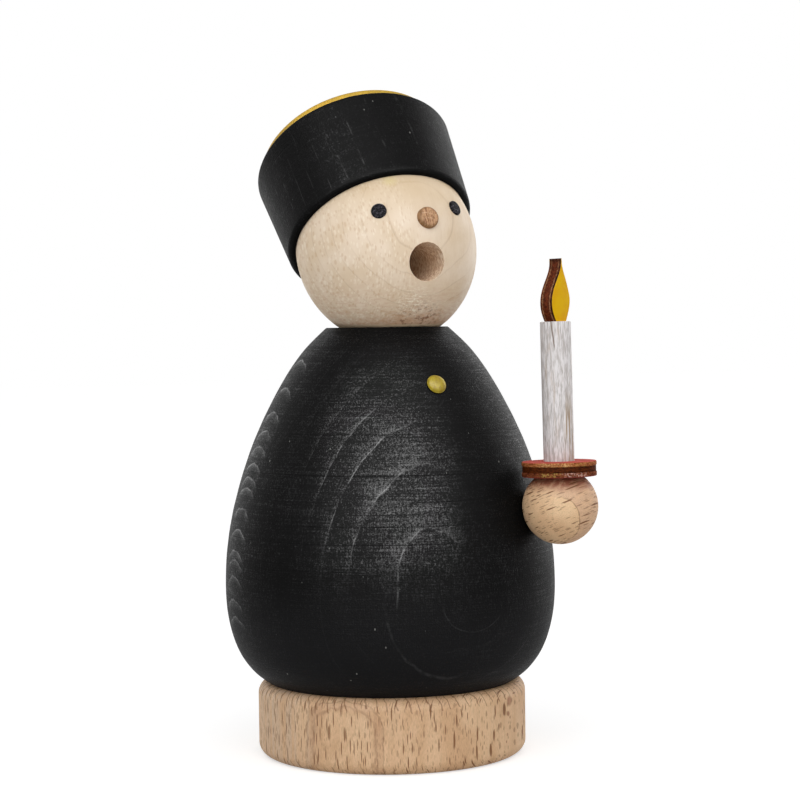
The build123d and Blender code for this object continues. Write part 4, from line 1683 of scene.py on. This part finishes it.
# Woods and their extra marks; a knot at the base's right has a turn, a height and a reach
base_knots = [
    (33.0, 12.2, 0.95), (32.0, 9.7, 0.5), (33.4, 8.9, 0.3), (31.0, 5.6, 0.32), (30.2, 4.2, 0.26),
]
base_extras = [base_arch, base_arch_line, base_bands, edge_comb]
base_extras += [knot(*place) for place in base_knots]
base_wood = beech("beech_base", origin, up_dir, front_dir(-50.0), beech_tints, extras=base_extras)
ball_grain = np.array([0.85, 0.40, 0.13])
ball_extras = [ball_side, ball_line, ball_under_tray]
ball_ray = front_dir(-20.0, 10.0)
ball_wood = beech("beech_ball", ball_centre, ball_grain, ball_ray, ball_tints, 1.25, ball_extras)
dowel_wood = beech("beech_dowel", (0, 0, 80), up_dir, front_dir(10.0), beech_tints, 0.7)

dress(make_base(), base_wood, "stand", "beech", "base_disc")
body_extras = [body_rings, body_polish, body_ovals, side_arches]
body_paint = black_stain(
    "black_body", origin, up_dir, body_shift, body_dull_and_painted_fill, body_extras, body_scores,
)
dress(make_body(), body_paint, "figure", "black_stain", "body_shell")
dress(make_head(), maple("maple_head"), "figure", "pale_maple", "head")
hat_paint = black_stain("black_hat", head_centre, crown_dir, hat_shift, hat_dull_and_painted_fill, [hat_lines])
dress(make_hat(), hat_paint, "figure", "black_stain", "hat")
dress(make_gilt_disc(), gilt(), "figure", "gilt", "hat_top")
for node in ("eye_right", "eye_left"):
    place = face_places[node]
    peg = make_peg(node + "_peg", *place, eye_radius, eye_proud, eye_round)
    dress(peg, black_peg("peg_" + node, place), "figure", "dark_pegs", node)
nose = make_peg("nose_peg", *face_places["nose"], nose_radius, nose_proud, nose_round)
dress(nose, nose_finish(), "figure", "nose_wood", "nose")
dress(make_button(), button_finish(), "figure", "button_brass", "chest_button")
dress(make_ball(), ball_wood, "figure", "beech", "hand_ball")

# Plies of the tray: slot, whether its top is painted, its tints and its glints
ply_looks = {
    "tray_back_ply": ("light_ply", False, "back", [(-5.0, 0.5, "olive"), (-0.6, 5.6, "rose")]),
    "tray_core_ply": ("burnt_core", False, "core", []),
    "tray_face_ply": ("red_paint", True, "face", [(-5.2, 2.8, "tan"), (1.6, 5.4, "olive")]),
}
for ply, node in make_tray():
    slot, painted, look, glints = ply_looks[node]
    dress(ply, ply_finish(node + "_finish", painted, look, glints), "figure", slot, node)
dress(make_candle(), candle_finish(), "figure", "white_paint", "candle")
dress(make_flame(), flame_finish(), "figure", "flame_paint", "flame")
keep("incense_dish", metal("dish_brass", "brass", "tarnish", 0.45))
keep("dish_nails", metal("nail_steel", "steel", "steel_dull", 0.3))
keep("neck_tube", dowel_wood)
keep("arm_dowel", dowel_wood)


# Camera and light

def turned_to_figure(vector):
    """From the camera's own directions (right, away, up) to the figure's frame."""
    c, s = cos(radians(camera_angle)), sin(radians(camera_angle))
    x, y, z = vector
    return Vector((x * c + y * s, -x * s + y * c, z))


def set_camera():
    """Camera at the photograph's place, pitch and roll."""
    ahead = Vector((0.0, cos(camera_down), -sin(camera_down)))
    level_right = Vector((1, 0, 0))
    level_up = Vector((0.0, sin(camera_down), cos(camera_down)))
    right = cos(camera_roll) * level_right + sin(camera_roll) * level_up
    up = -sin(camera_roll) * level_right + cos(camera_roll) * level_up
    columns = [turned_to_figure(right), turned_to_figure(up), turned_to_figure(-ahead)]
    turn = Matrix(columns).transposed().to_4x4()
    place = turned_to_figure((camera_aside, -camera_away, camera_height)) * MM
    data = bpy.data.cameras.new("camera")
    data.sensor_width = sensor_width
    data.lens = focal_pixels / frame_pixels * sensor_width
    data.clip_start, data.clip_end = camera_clip
    camera = bpy.data.objects.new("camera", data)
    camera.matrix_world = Matrix.Translation(place) @ turn
    bpy.context.scene.collection.objects.link(camera)
    bpy.context.scene.camera = camera


def area_light(name, turn, rise, away, width, height, radiance, lights_matt):
    """Soft box seen from the figure's middle at this turn from the camera, and this rise.

    It is as bright as its radiance says. A box that doesn't light matt surfaces only makes
    the soft highlights on lacquer and gilt.
    """
    data = bpy.data.lights.new(name, "AREA")
    data.shape = "RECTANGLE"
    data.size = width
    data.size_y = height
    data.energy = radiance * np.pi * width * height
    lamp = bpy.data.objects.new(name, data)
    out = Vector(front_dir(turn - camera_angle, rise))
    lamp.location = Vector(lamp_target) + out * away
    lamp.rotation_euler = (-out).to_track_quat("-Z", "Y").to_euler()
    lamp.visible_camera = False
    lamp.visible_diffuse = lights_matt
    bpy.context.scene.collection.objects.link(lamp)


def seen_directly(graph):
    """1 for rays from the camera, and for mirror and glass rays."""
    path = graph.node("ShaderNodeLightPath").outputs
    either = graph.most(path["Is Camera Ray"], path["Is Glossy Ray"])
    return graph.most(either, path["Is Transmission Ray"])


def set_world(level):
    """White where it is seen, and a softer level of light on the object."""
    world = bpy.data.worlds.new("studio")
    bpy.context.scene.world = world
    world.use_nodes = True
    graph = Graph(world.node_tree)
    world.node_tree.nodes.clear()
    strength = graph.times_plus(seen_directly(graph), 1.0 - level, level)
    back = graph.node("ShaderNodeBackground", {"Color": (1, 1, 1, 1), "Strength": strength})
    graph.node("ShaderNodeOutputWorld", {"Surface": back.outputs[0]})


def set_floor(half_size, albedo, glow):
    """Plain pale floor: partly matt, so that it keeps the shadow, and white where it is seen."""
    points = np.array([(-1, -1, 0), (1, -1, 0), (1, 1, 0), (-1, 1, 0)]) * half_size / MM
    floor = put_mesh("floor", points, [(0, 1, 2, 3)])
    material = bpy.data.materials.new("floor_white")
    material.use_nodes = True
    graph = Graph(material.node_tree)
    material.node_tree.nodes.clear()
    matt = graph.node("ShaderNodeBsdfDiffuse", {"Color": (albedo, albedo, albedo, 1)})
    strength = graph.times(seen_directly(graph), glow)
    light = graph.node("ShaderNodeEmission", {"Color": (1, 1, 1, 1), "Strength": strength})
    both = graph.node("ShaderNodeAddShader", {0: matt.outputs[0], 1: light.outputs[0]})
    graph.node("ShaderNodeOutputMaterial", {"Surface": both.outputs[0]})
    floor.data.materials.append(material)


# Lamps: name, turn from the camera, rise, distance, width and height in metres, radiance,
# and whether matt surfaces are lit too
lamp_target = (0, 0, 0.065)
lamps = [
    ("front_box", 0.0, 38.0, 0.60, 0.70, 0.46, 1.5, True),
    ("sheen_box", 0.0, 35.0, 0.60, 1.36, 0.74, 10.5, False),
    ("left_panel", -134.0, 14.0, 0.9, 0.80, 0.9, 1.3, False),
    ("right_panel", 134.0, 14.0, 0.9, 0.80, 0.9, 2.5, False),
]

set_camera()
set_world(level=0.68)
set_floor(half_size=3.0, albedo=0.65, glow=0.56)
for lamp_row in lamps:
    area_light(*lamp_row)
bpy.context.scene.view_settings.view_transform = "Standard"
